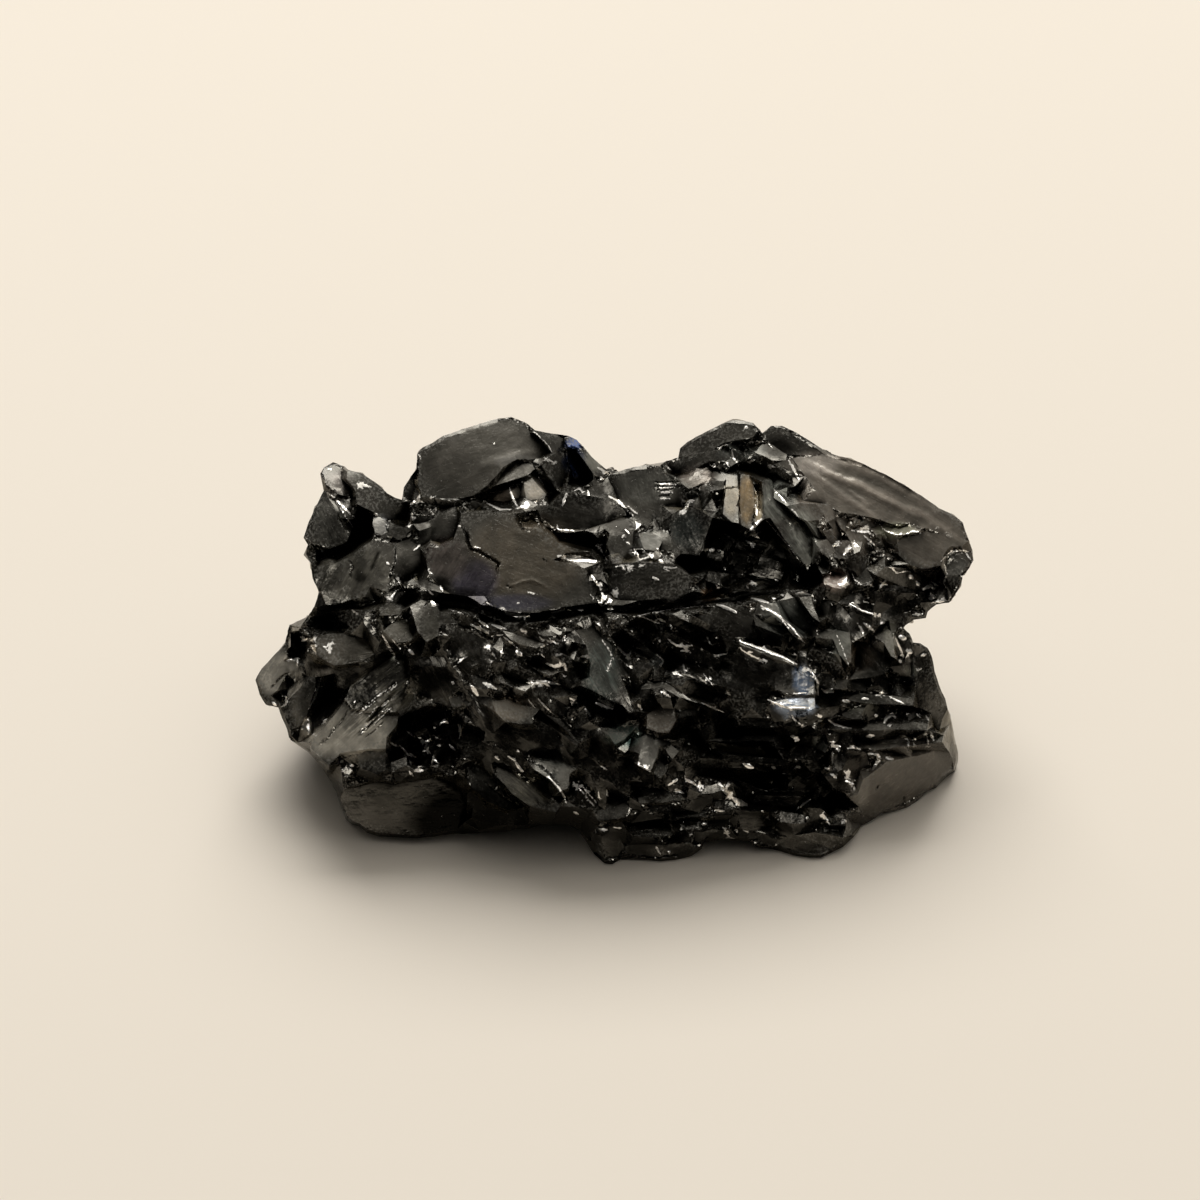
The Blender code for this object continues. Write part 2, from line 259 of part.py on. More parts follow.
    ("brown_tile", 0.4, -0.1, 0.4, 0.1, ((3.5, 15.8), (5.0, 16.2), (6.7, 15.7), (5.9, 14.3), (4.6, 14.4),
     (3.5, 14.8))),
    ("pale_tile", 0.6, -0.2, 0.55, 0.1, ((3.5, 14.1), (4.4, 13.5), (4.8, 12.9), (4.5, 11.5), (3.9, 10.1),
     (2.5, 10.8), (2.7, 12.0), (3.1, 13.2))),
    ("pale_tile_side", 0.3, -0.3, 0.5, 0.0, ((5.3, 11.6), (5.9, 10.8), (5.5, 9.8), (4.8, 9.3), (4.3, 9.9),
     (4.8, 11.2))),
    ("pale_tile_point", 0.2, -0.1, 0.3, 0.0, ((5.5, 12.5), (6.1, 13.0), (7.0, 12.2), (6.3, 11.4))),
    ("long_sliver", 0.4, 0.0, 0.25, 0.0, ((3.6, 20.0), (5.4, 19.9), (7.4, 18.6), (9.7, 17.4), (7.1, 18.2),
     (5.1, 19.3))),
    ("sliver_chip", 0.4, -0.27, 0.63, 0.0, ((4.6, 18.8), (6.0, 18.6), (6.1, 18.1), (4.5, 18.2))),
    ("white_band", 0.4, 0.2, 0.64, 0.0, ((9.3, 8.5), (10.5, 8.4), (11.6, 8.8), (11.7, 7.9), (10.8, 7.6),
     (9.5, 7.5))),
    ("blade_left", 0.6, -0.1, 0.3, 0.0, ((15.9, 28.7), (16.9, 28.4), (18.4, 26.8), (20.8, 24.7),
     (20.2, 24.9), (17.3, 27.2))),
    ("blade_right", 0.5, 0.0, 0.25, 0.0, ((20.3, 29.2), (21.6, 29.3), (21.9, 28.0), (22.5, 26.5),
     (21.7, 27.1), (20.8, 28.4))),
    ("blade_middle", -0.5, -0.1, 0.55, 0.1, ((18.0, 28.8), (19.8, 29.2), (20.4, 28.2), (21.4, 26.8),
     (22.3, 25.9), (21.3, 25.2), (19.6, 26.4))),
    ("right_lens", 0.5, -0.1, 0.4, 0.1, ((23.5, 25.8), (24.5, 25.6), (26.0, 24.0), (26.0, 22.2),
     (25.6, 21.7), (24.7, 22.9), (24.0, 24.6))),
    ("right_streak", 0.4, 0.0, 0.3, 0.0, ((29.8, 26.1), (30.5, 25.4), (30.8, 24.0), (30.9, 22.5),
     (30.5, 22.7), (29.7, 24.2), (28.5, 25.0))),
    ("right_brown", -0.4, -0.1, 0.65, 0.2, ((26.6, 24.2), (28.0, 24.1), (29.7, 22.8), (30.4, 21.5),
     (29.8, 20.8), (26.7, 21.3))),
    ("bright_top", 0.3, -0.2, 0.57, 0.1, ((18.3, 21.2), (20.3, 20.9), (21.9, 20.0), (22.1, 18.5),
     (19.9, 18.4), (17.6, 19.1), (17.6, 20.1))),
    ("bright_face", 0.4, -0.27, 0.63, 0.0, ((17.3, 17.7), (18.8, 18.0), (22.0, 18.1), (22.0, 17.0),
     (21.4, 16.7), (19.3, 17.0))),
    ("white_post", 0.4, -0.27, 0.63, 0.0, ((24.0, 12.6), (24.6, 12.6), (24.6, 9.9), (24.0, 10.0))),
    ("post_chip", 0.2, 0.1, 0.2, 0.0, ((22.1, 12.7), (23.0, 13.6), (23.4, 12.5), (23.2, 12.0))),
    ("right_ledge_top", 0.4, -0.05, 0.35, 0.0, ((22.5, 18.9), (27.0, 18.6), (31.4, 18.2), (33.0, 17.9),
     (32.9, 17.2), (30.0, 17.4), (25.0, 17.9), (22.7, 18.2))),
    ("right_ledge_middle", 0.4, -0.05, 0.35, 0.0, ((23.3, 15.5), (28.0, 15.3), (32.4, 15.5), (34.6, 15.2),
     (34.5, 14.5), (31.0, 14.6), (26.0, 14.5), (23.5, 14.7))),
    ("right_ledge_low", 0.3, -0.1, 0.3, 0.0, ((26.6, 13.4), (29.0, 13.2), (33.0, 13.4), (36.4, 13.9),
     (36.2, 13.2), (32.0, 12.7), (28.8, 12.3), (26.8, 12.7))),
    ("bright_line", 0.3, -0.25, 0.58, 0.0, ((13.7, 24.4), (16.0, 23.6), (19.8, 22.0), (19.7, 21.7),
     (16.0, 23.1), (13.7, 24.0))),
    ("right_face", -0.6, -0.62, 1.2, 0.4, ((28.5, 9.8), (30.0, 11.0), (32.8, 11.5), (35.8, 12.2),
     (37.2, 11.9), (37.6, 11.0), (37.3, 10.1), (36.4, 9.4), (35.5, 8.5), (34.6, 8.1), (33.3, 7.0),
     (32.1, 6.3), (30.9, 5.9), (29.5, 5.8), (28.8, 5.2), (27.7, 4.8), (27.0, 6.0), (26.9, 7.4),
     (27.4, 9.0))),
    ("right_edge", 0.0, -0.5, 0.8, 0.2, ((33.0, 22.6), (34.0, 22.6), (34.6, 21.0), (35.2, 19.2),
     (35.7, 17.6), (35.0, 16.4), (33.6, 17.0), (33.2, 19.4))),
    ("foot_right", 0.1, 0.0, 1.1, 0.2, ((18.0, 2.4), (19.8, 2.9), (22.0, 3.2), (24.0, 2.9), (25.2, 2.6),
     (24.7, 1.9), (23.8, 1.4), (22.7, 0.9), (21.5, 0.9), (19.6, 1.2), (18.1, 1.8))),
)

# Hollows of the show sheet, with crumbled floors: depth, and outline.
HOLLOWS = (
    (3.0, ((-25.0, 14.4), (-22.9, 16.1), (-21.0, 16.5), (-18.3, 16.4), (-16.9, 14.6), (-16.3, 12.8),
     (-17.6, 11.2), (-19.6, 10.8), (-21.6, 10.8), (-23.4, 10.8), (-25.0, 12.0))),
    (2.6, ((11.2, 37.5), (13.0, 36.9), (14.5, 36.0), (16.0, 36.5), (17.0, 37.2), (18.0, 35.9), (19.8, 33.0),
     (21.2, 32.1), (21.9, 31.7), (21.6, 30.5), (19.5, 30.4), (15.0, 30.1), (10.8, 29.6), (9.2, 32.0),
     (9.8, 34.5), (10.4, 36.3))),
    (1.4, ((7.6, 16.4), (12.0, 15.8), (16.8, 14.8), (21.6, 15.0), (22.4, 13.6), (20.4, 12.2), (12.5, 11.6),
     (8.2, 12.4))),
    (1.8, ((12.6, 9.8), (17.0, 9.9), (21.5, 9.9), (23.4, 9.2), (25.2, 7.4), (24.8, 5.6), (19.6, 5.9),
     (14.8, 5.7), (13.6, 7.4))),
    (1.2, ((21.6, 14.2), (26.0, 14.2), (26.2, 12.0), (24.8, 10.6), (22.2, 11.2))),
    (1.0, ((2.0, 27.2), (8.0, 26.6), (12.6, 24.4), (11.8, 21.4), (6.0, 21.2), (2.4, 23.4))),
)

# Facets of the hidden sheet: broad breaks on the back wall.
HIDDEN_FACETS = (
    ("back_left", -0.4, 0.15, 1.05, -0.5, ((-29.0, 39.0), (-26.0, 39.6), (-22.5, 38.0), (-20.8, 35.2),
     (-21.6, 31.8), (-23.8, 30.4), (-27.2, 31.2), (-29.6, 34.4))),
    ("back_dome", 0.4, 0.05, 1.3, -0.6, ((-19.0, 43.6), (-15.5, 45.6), (-11.0, 46.2), (-7.6, 44.4),
     (-8.2, 41.2), (-10.8, 38.4), (-14.0, 37.6), (-17.6, 39.2))),
    ("back_low", -0.5, -0.15, 1.0, -0.4, ((-15.0, 33.6), (-11.5, 34.4), (-6.5, 32.8), (-4.2, 30.0),
     (-6.6, 27.6), (-11.0, 28.4), (-14.4, 30.2))),
    ("back_middle", 0.2, 0.2, 1.35, -0.4, ((-3.0, 40.6), (1.5, 41.4), (4.6, 39.0), (3.4, 35.6),
     (-0.6, 34.8), (-3.8, 37.2))),
    ("back_crown", 0.3, -0.15, 1.15, -0.5, ((9.0, 44.2), (12.6, 46.4), (16.2, 44.6), (17.4, 41.6),
     (14.6, 39.2), (10.4, 40.2))),
    ("back_wing", -0.4, 0.15, 1.0, -0.6, ((21.0, 43.4), (25.4, 42.6), (31.0, 39.4), (33.2, 36.4),
     (29.6, 35.0), (24.8, 36.4), (21.4, 39.6))),
    ("back_foot", 0.3, 0.2, 1.3, -0.4, ((7.5, 33.0), (12.0, 34.2), (17.6, 32.6), (19.0, 29.4),
     (14.6, 27.8), (9.6, 29.0))),
)

# Open cracks: width, depth, and the line that each one follows.
CRACKS = (
    (0.55, 1.5, ((-19.2, 28.6), (-17.0, 28.5), (-15.0, 27.8), (-13.2, 27.0), (-10.0, 26.8), (-7.0, 27.1),
     (-4.8, 27.5), (-2.0, 27.7))),
    (0.4, 1.3, ((-1.6, 27.8), (1.0, 27.8), (4.0, 28.0), (7.0, 28.3), (9.4, 28.7), (13.0, 29.0),
     (15.0, 29.6), (19.0, 29.9), (21.5, 29.8))),
    (0.35, 0.9, ((-31.0, 27.9), (-28.5, 28.3), (-26.4, 28.7))),
)

# Grain: middle of each region, the direction that its flakes run in (degrees), how long and how thick they
# are, and the share of them that look forward.
GRAIN = (
    ((-30.0, 22.0), 12, 3.0, 1.0, 0.70),
    ((-27.0, 27.0), 5, 2.6, 0.9, 0.70),
    ((-20.0, 22.0), -46, 6.0, 1.0, 0.75),
    ((-20.0, 13.5), 20, 1.4, 0.8, 0.80),
    ((-12.0, 24.0), -18, 2.4, 0.8, 0.42),
    ((-12.0, 13.0), -38, 7.5, 0.8, 0.80),
    ((-6.0, 21.0), -26, 4.0, 0.8, 0.60),
    ((-20.0, 38.5), 10, 1.8, 0.8, 0.70),
    ((4.0, 36.0), -52, 2.8, 0.9, 0.85),
    ((-1.0, 31.0), -70, 2.0, 0.8, 0.45),
    ((15.0, 45.0), -35, 1.6, 0.7, 0.80),
    ((15.0, 33.0), -10, 3.0, 1.2, 0.92),
    ((5.0, 24.0), -25, 5.0, 1.0, 0.85),
    ((14.0, 25.0), -24, 6.5, 1.0, 0.85),
    ((20.0, 22.0), -30, 4.4, 1.2, 0.80),
    ((26.0, 36.0), -62, 1.6, 0.7, 0.65),
    ((30.0, 29.0), -16, 3.6, 1.0, 0.65),
    ((29.0, 17.0), -8, 3.4, 1.0, 0.60),
    ((16.0, 13.0), -6, 6.0, 1.1, 0.92),
    ((18.0, 7.5), -2, 5.6, 1.1, 0.92),
    ((7.0, 12.0), -14, 5.0, 1.0, 0.85),
    ((6.0, 6.0), 4, 2.8, 1.0, 0.60),
    ((22.0, 4.0), -6, 2.6, 0.9, 0.70),
    ((-3.0, 8.0), -48, 6.0, 0.8, 0.80),
)
HIDDEN_GRAIN = (
    ((-28.0, 32.0), 20, 4.2, 1.8, 0.6),
    ((-10.0, 30.0), -12, 4.6, 1.7, 0.6),
    ((6.0, 34.0), 8, 4.2, 1.7, 0.6),
    ((26.0, 32.0), -20, 4.6, 1.8, 0.6),
)

# How steeply the show sheet's flakes stand, as slopes up the rise: those that look forward, and the rest,
# by share.
FORWARD_TILT = (0.66, 0.96)
HIDDEN_TILT = (0.6, 1.75)
TILTS = ((0.52, 0.46, 0.64), (0.32, 0.22, 0.44), (0.16, -0.05, 0.12))
ROW_LIKENESS = 0.6  # share of a row's flakes that keep the row's slope
GRAIN_REACH = 26.0  # mm from a region's middle to the end of its rows

RASTER = 0.12  # mm between the samples that keep facets apart
FACET_GAP = 0.16  # mm kept round a placed facet
FLAKE_GAP = 0.13  # mm kept round a flake
CALM_EDGE = 4.0  # mm from the outline within which the flakes lie calmer
FILLER_STEP = 1.15
HIDDEN_FILLER_STEP = 2.2
EDGE_CLEARANCE = 0.6  # mm between the outline and anything inside it
EDGE_DROP = 0.12  # mm, at most, that the outline lies below the show sheet
FACET_REACH = 1.4  # mm from a facet within which the outline follows its slope
RIM_INSET = 0.3  # mm from the outline to the points just inside it
RIM_STEP = 1.2  # mm of height, at most, from the outline to those points
LEAST_THICKNESS = 0.6  # mm of height between the two sheets
INNER_STEP = 2.6  # mm between the points inside a domed facet
CHECK_STEP = 0.01
STEEPEST = 1.6


def solid_point(across, rise, height):
    """A slanted (across, rise, height) as X, Y, Z in mm."""
    return (across, (rise - height * math.cos(LEAN)) / math.sin(LEAN), height)


def inside(points, polygon):
    """Which points lie inside a polygon."""
    points = np.asarray(points, float).reshape(-1, 2)
    found = np.zeros(len(points), bool)
    corners = np.asarray(polygon, float)
    for (x0, y0), (x1, y1) in zip(corners, np.roll(corners, -1, axis=0)):
        crosses = (y0 > points[:, 1]) != (y1 > points[:, 1])
        if y0 != y1:
            found ^= crosses & (points[:, 0] < (x1 - x0) * (points[:, 1] - y0) / (y1 - y0) + x0)
    return found


def edge_distance(points, polygon, closed=True):
    """The distance from each point to the nearest edge of a polygon."""
    points = np.asarray(points, float).reshape(-1, 2)
    corners = np.asarray(polygon, float)
    ends = np.roll(corners, -1, axis=0) if closed else corners[1:]
    nearest = np.full(len(points), np.inf)
    for start, end in zip(corners, ends):
        along = end - start
        share = np.clip(((points - start) @ along) / max(along @ along, 1e-9), 0, 1)
        gap = np.linalg.norm(points - start - share[:, None] * along, axis=1)
        nearest = np.minimum(nearest, gap)
    return nearest


class Swell:
    """A sheet's smooth height: Catmull-Rom curves through its stations, less the depth of its hollows."""

    def __init__(self, table, hollows=()):
        self.grid = np.array(table)
        self.hollows = hollows

    def __call__(self, points):
        points = np.asarray(points, float).reshape(-1, 2)
        across_terms, across_places = self.weights(points[:, 0], ACROSS_STATIONS)
        rise_terms, rise_places = self.weights(points[:, 1], RISE_STATIONS)
        total = np.zeros(len(points))
        for rise_term, rise_place in zip(rise_terms, rise_places):
            for across_term, across_place in zip(across_terms, across_places):
                total += rise_term * across_term * self.grid[rise_place, across_place]
        for depth, polygon in self.hollows:
            total[inside(points, polygon)] -= depth
        return total

    @staticmethod
    def weights(values, stations):
        step = stations[1] - stations[0]
        at = np.clip((values - stations[0]) / step, 0.0, len(stations) - 1.001)
        index = at.astype(int)
        t = at - index
        terms = (
            (-t + 2 * t**2 - t**3) / 2,
            (2 - 5 * t**2 + 3 * t**3) / 2,
            (t + 4 * t**2 - 3 * t**3) / 2,
            (t**3 - t**2) / 2,
        )
        return terms, [np.clip(index + k - 1, 0, len(stations) - 1) for k in range(4)]

    def slope(self, point):
        """The swell's slope across and up at a point, away from the hollows' steps."""
        step = np.array(((CHECK_STEP, 0.0), (-CHECK_STEP, 0.0), (0.0, CHECK_STEP), (0.0, -CHECK_STEP)))
        near = self(point + step)
        steep = np.array((near[0] - near[1], near[2] - near[3])) / (2 * CHECK_STEP)
        return np.clip(steep, -STEEPEST, STEEPEST)


SHOW = Swell(SHOW_SWELL, HOLLOWS)
HIDDEN = Swell(HIDDEN_SWELL)


class Facet:
    """One break: a flat or gently domed patch of a sheet, inside its own outline."""

    def __init__(self, swell, lift, slope_across, slope_up, dome, polygon):
        self.corners = np.array(polygon)
        self.middle = self.corners.mean(axis=0)
        self.level = swell(self.middle)[0] + lift
        self.slope = np.array((slope_across, slope_up))
        self.dome = dome
        self.reach = np.linalg.norm(self.corners - self.middle, axis=1).max()

    def height(self, points):
        offset = np.asarray(points) - self.middle
        round_off = 1 - (np.linalg.norm(offset, axis=1) / self.reach) ** 2
        return self.level + offset @ self.slope + self.dome * round_off


def facets(swell, rows):
    return [Facet(swell, *row[1:]) for row in rows]


def edge_height(points, swell, sheet_facets):
    """Heights along the outline: those of the nearest facet where one lies close, or else of the swell."""
    points = np.asarray(points, float).reshape(-1, 2)
    heights = swell(points)
    nearest = np.full(len(points), FACET_REACH)
    for facet in sheet_facets:
        gap = edge_distance(points, facet.corners)
        close = gap < nearest
        heights[close] = facet.height(points)[close]
        nearest = np.minimum(nearest, gap)
    return heights


class Ground:
    """A raster of the sheet that says which of its samples are still free."""

    def __init__(self, outline):
        corners = np.array([p[:2] for p in outline])
        self.low = corners.min(axis=0) - 1.0
        size = np.ceil((corners.max(axis=0) + 1.0 - self.low) / RASTER).astype(int)
        columns, rows = np.meshgrid(np.arange(size[0]), np.arange(size[1]), indexing="ij")
        self.samples = self.low + RASTER * np.stack([columns, rows], axis=-1)
        self.free = inside(self.samples.reshape(-1, 2), corners).reshape(size)
        for start, end in zip(corners, np.roll(corners, -1, axis=0)):
            window = self.window((start, end), EDGE_CLEARANCE)
            gap = edge_distance(self.samples[window].reshape(-1, 2), (start, end), closed=False)
            self.free[window] &= (gap > EDGE_CLEARANCE).reshape(self.free[window].shape)

    def window(self, polygon, margin):
        corners = np.asarray(polygon, float)
        low = np.floor((corners.min(axis=0) - margin - self.low) / RASTER).astype(int)
        high = np.ceil((corners.max(axis=0) + margin - self.low) / RASTER).astype(int) + 1
        low = np.maximum(low, 0)
        high = np.minimum(high, self.free.shape)
        return slice(low[0], high[0]), slice(low[1], high[1])

    def covered(self, polygon, margin):
        """The window of a polygon and which of its samples the polygon covers, grown by margin."""
        window = self.window(polygon, margin)
        samples = self.samples[window].reshape(-1, 2)
        within = inside(samples, polygon)
        if margin > 0:
            within |= edge_distance(samples, polygon) < margin
        return window, within.reshape(self.free[window].shape)

    def is_free(self, polygon):
        window, within = self.covered(polygon, 0.0)
        return within.any() and self.free[window][within].all()

    def take(self, polygon, margin):
        window, within = self.covered(polygon, margin)
        self.free[window] &= ~within

    def free_points(self, points):
        index = np.round((np.asarray(points) - self.low) / RASTER).astype(int)
        within = ((index >= 0) & (index < self.free.shape)).all(axis=1)
        index = np.clip(index, 0, np.array(self.free.shape) - 1)
        return within & self.free[index[:, 0], index[:, 1]]


class Sheet:
    """The points, edges and heights of one sheet of the stone."""

    def __init__(self, swell, outline, heights):
        self.swell = swell
        self.points = [tuple(p[:2]) for p in outline]
        self.heights = list(heights)
        self.edges = []
        self.outline_count = len(outline)
        self.ground = Ground(outline)

    def add_ring(self, ring, heights):
        first = len(self.points)
        self.points += [tuple(p) for p in ring]
        self.heights += list(heights)
        count = len(ring)
        self.edges += [(first + k, first + (k + 1) % count) for k in range(count)]

    def add_loose(self, points, heights):
        self.points += [tuple(p) for p in points]
        self.heights += list(heights)

    def add_rim(self, height_at, least_step):
        """Points just inside the outline, at least a step up (or down, if negative) from it."""
        corners = np.array(self.points[: self.outline_count])
        edge = np.array(self.heights[: self.outline_count])
        along = np.roll(corners, -1, axis=0) - np.roll(corners, 1, axis=0)
        inward = np.stack([along[:, 1], -along[:, 0]], axis=1)
        inward /= np.linalg.norm(inward, axis=1, keepdims=True)
        rim = corners + inward * RIM_INSET
        clear = inside(rim, corners) & (edge_distance(rim, corners) > RIM_INSET / 2)
        way = math.copysign(1, least_step)
        step = np.clip(way * (height_at(rim) - edge), abs(least_step), RIM_STEP)
        heights = np.maximum(edge + way * step, 0.0)
        self.add_loose(rim[clear], heights[clear])

    def add_facet(self, facet):
        """A placed facet, with points inside it where it is large enough to dome."""
        corners = facet.corners
        self.add_ring(corners, facet.height(corners))
        low, high = corners.min(axis=0), corners.max(axis=0)
        across = np.arange(low[0] + INNER_STEP / 2, high[0], INNER_STEP)
        rises = np.arange(low[1] + INNER_STEP / 2, high[1], INNER_STEP)
        grid = np.array([(a, r) for a in across for r in rises]).reshape(-1, 2)
        if facet.dome and len(grid):
            within = inside(grid, corners) & (edge_distance(grid, corners) > INNER_STEP / 3)
            self.add_loose(grid[within], facet.height(grid[within]))
        self.ground.take(corners, FACET_GAP)

    def add_crack(self, width, depth, line):
        """An open crack: a narrow ring sunk below the swell, pointed at its two ends."""
        line = np.array(line)
        along = np.gradient(line, axis=0)
        side = np.stack([-along[:, 1], along[:, 0]], axis=1)
        side /= np.linalg.norm(side, axis=1, keepdims=True)
        taper = np.sin(np.linspace(0.12, 0.88, len(line)) * math.pi) ** 0.5
        offset = side * (width / 2 * taper)[:, None]
        ring = np.concatenate([line + offset, (line - offset)[::-1]])
        self.add_ring(ring, self.swell(ring) - depth)
        self.ground.take(ring, FACET_GAP)

    def add_flakes(self, grain, rng, tilts):
        """Rows of flakes along each region's grain, laid where the sheet is still free."""
        middles = np.array([region[0] for region in grain])
        for number, (middle, degrees, length, thickness, forward) in enumerate(grain):
            turn = math.radians(degrees)
            along = np.array((math.cos(turn), math.sin(turn)))
            side = np.array((-math.sin(turn), math.cos(turn)))
            row = -GRAIN_REACH
            while row < GRAIN_REACH:
                thick = thickness * rng.uniform(0.6, 1.6)
                row_tilt = tilts(rng, forward)
                place = -GRAIN_REACH + rng.uniform(0.0, length)
                while place < GRAIN_REACH:
                    long = length * rng.uniform(0.45, 1.8)
                    tilt = row_tilt if rng.random() < ROW_LIKENESS else tilts(rng, forward)
                    corner = np.array(middle) + along * place + side * row
                    self.add_flake(corner, along * long, side * thick, number, middles, rng, tilt)
                    place += long
                row += thick

    def add_flake(self, corner, long, thick, number, middles, rng, tilt):
        """One flake, if its middle lies in this region and the place is free. tilt is its slope upwards."""
        size, depth = np.linalg.norm(long), np.linalg.norm(thick)
        lead = long / size
        bow = rng.uniform(-0.12, 0.25)
        slant = lead * rng.uniform(-0.14, 0.14) * size
        ring = np.array([corner, corner + long * 0.5 - thick * bow, corner + long,
                         corner + long + thick + slant, corner + thick + slant])
        ring += np.array([rng.uniform(-0.12, 0.12) for _ in range(10)]).reshape(-1, 2)
        middle = ring.mean(axis=0)
        cant, lift = rng.gauss(0, 0.22), np.clip(rng.gauss(0, 0.3), -0.6, 0.6)
        if np.linalg.norm(middles - middle, axis=1).argmin() != number:
            return
        for shrink in (0.95, 0.6):
            pulled = middle + (ring - middle) * shrink
            grown = middle + (ring - middle) * (shrink + FLAKE_GAP * 2 / min(depth, size))
            if self.ground.is_free(grown):
                break
        else:
            return
        calm = min(1.0, edge_distance([middle], self.points[: self.outline_count])[0] / CALM_EDGE)
        swell_slope = self.swell.slope(middle)
        tilted = np.array((swell_slope[0] + cant, tilt))
        slope = calm * tilted + (1 - calm) * swell_slope
        level = self.swell(middle)[0] + calm * lift
        self.add_ring(pulled, level + (pulled - middle) @ slope)
        self.ground.take(grown, 0.0)

    def add_filler(self, step, rng, roughness):
        """Loose points where nothing else is, so that the swell shows between the flakes."""
        high = self.ground.low + RASTER * np.array(self.ground.free.shape)
        across = np.arange(self.ground.low[0], high[0], step)
        rises = np.arange(self.ground.low[1], high[1], step)
        grid = np.array([(a, r) for r in rises for a in across])
        grid += step * np.array([rng.uniform(-0.4, 0.4) for _ in range(grid.size)]).reshape(-1, 2)
        bumps = roughness * np.array([rng.uniform(-1, 1) for _ in grid])
        free = self.ground.free_points(grid)
        self.add_loose(grid[free], (self.swell(grid) + bumps)[free])

    def triangles(self):
        """The sheet's points after triangulation, the height of each, and its triangles."""
        count = self.outline_count
        edges = self.edges + [(k, (k + 1) % count) for k in range(count)]
        made = delaunay_2d_cdt([Vector(p) for p in self.points], edges, [], 0, 1e-5, True)
        points, _, faces, origins = made[:4]
        points = np.array([tuple(p) for p in points])
        source = np.array(self.points)
        heights = np.zeros(len(points))
        for index, origin in enumerate(origins):
            if origin:
                heights[index] = self.heights[origin[0]]
            else:
                near = np.linalg.norm(source - points[index], axis=1).argmin()
                heights[index] = self.heights[near]
        middles = points[np.array(faces)].mean(axis=1)
        kept = [face for face, within in zip(faces, inside(middles, source[:count])) if within]
        return points, heights, kept


def show_tilt(rng, forward):
    """A flake's slope up the rise: one that looks forward, a tread, or now and then one that lies flat."""
    low, high = rng.choices([row[1:] for row in TILTS], [row[0] for row in TILTS])[0]
    return rng.uniform(*FORWARD_TILT) if rng.random() < forward else rng.uniform(low, high)


def outline_heights(show_facets):
    """The height of each outline point: its own, or a little below the show sheet."""
    show = edge_height([p[:2] for p in OUTLINE], SHOW, show_facets)
    hidden = HIDDEN([p[:2] for p in OUTLINE])
    drop = np.clip((show - hidden) / 3, 0.0, EDGE_DROP)
    return [point[2] if len(point) == 3 else height for point, height in zip(OUTLINE, show - drop)]


def show_sheet(heights, placed):
    rng = random.Random(SEED)
    sheet = Sheet(SHOW, OUTLINE, heights)
    sheet.add_rim(lambda points: edge_height(points, SHOW, placed), 0.05)
    for facet in placed:
        sheet.add_facet(facet)
    for width, depth, line in CRACKS:
        sheet.add_crack(width, depth, line)
    sheet.add_flakes(GRAIN, rng, show_tilt)
    sheet.add_filler(FILLER_STEP, rng, 0.15)
    return sheet


def hidden_sheet(heights):
    rng = random.Random(SEED + 1)
    sheet = Sheet(HIDDEN, OUTLINE, heights)
    sheet.add_rim(HIDDEN, -0.3)
    for facet in facets(HIDDEN, HIDDEN_FACETS):
        sheet.add_facet(facet)
    sheet.add_flakes(HIDDEN_GRAIN, rng, lambda rng, forward: rng.uniform(*HIDDEN_TILT))
    sheet.add_filler(HIDDEN_FILLER_STEP, rng, 0.6)
    return sheet


def stone_mesh():
    """The two sheets as one closed mesh, in metres, with its origin at the middle of its underside."""
    placed = facets(SHOW, SHOW_FACETS)
    heights = outline_heights(placed)
    mesh = bmesh.new()
    show = show_sheet(heights, placed)
    hidden = hidden_sheet(heights)
    show_points, show_heights, show_faces = show.triangles()
    hidden_points, hidden_heights, hidden_faces = hidden.triangles()
    floor = HIDDEN(show_points) + LEAST_THICKNESS
    count = len(OUTLINE)
    show_heights[count:] = np.maximum(show_heights, floor)[count:]
    ceiling = SHOW(hidden_points) - LEAST_THICKNESS
    hidden_heights[count:] = np.minimum(hidden_heights, ceiling)[count:]
    lying = HIDDEN(hidden_points) < 0.3
    hidden_heights[count:] = np.where(lying, 0.0, np.maximum(hidden_heights, 0.0))[count:]

    spots = [solid_point(a, r, h) for (a, r), h in zip(show_points, show_heights)]
    back = [solid_point(a, r, h) for (a, r), h in zip(hidden_points, hidden_heights)]
    every = np.array(spots + back)
    low, high = every.min(axis=0), every.max(axis=0)
    origin = np.array(((low[0] + high[0]) / 2, (low[1] + high[1]) / 2, low[2]))
    front_verts = [mesh.verts.new((np.array(p) - origin) * MM) for p in spots]
    back_verts = front_verts[:count] + [mesh.verts.new((np.array(p) - origin) * MM) for p in back[count:]]
    for face in show_faces:
        mesh.faces.new([front_verts[k] for k in face])
    for face in hidden_faces:
        mesh.faces.new([back_verts[k] for k in reversed(face)])
    bmesh.ops.recalc_face_normals(mesh, faces=mesh.faces)
    data = bpy.data.meshes.new(NODE)
    mesh.to_mesh(data)
    mesh.free()
    return data


def shungite_material():
    material = bpy.data.materials.new("shungite")
    material.use_nodes = True
    shader = material.node_tree.nodes["Principled BSDF"]
    shader.inputs["Base Color"].default_value = (0.012, 0.011, 0.010, 1.0)
    shader.inputs["Metallic"].default_value = 0.0
    shader.inputs["Roughness"].default_value = 0.16
    return material


def main():
    for old in list(bpy.data.objects):
        bpy.data.objects.remove(old)
    stone = bpy.data.objects.new(NODE, stone_mesh())
    stone.data.materials.append(shungite_material())
    bpy.context.scene.collection.objects.link(stone)


main()
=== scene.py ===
"""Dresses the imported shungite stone: finer breaks, a glassy black material, a pale floor and soft light."""

import math

import bpy  # noqa: E402
import numpy as np  # noqa: E402
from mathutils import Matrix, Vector  # noqa: E402

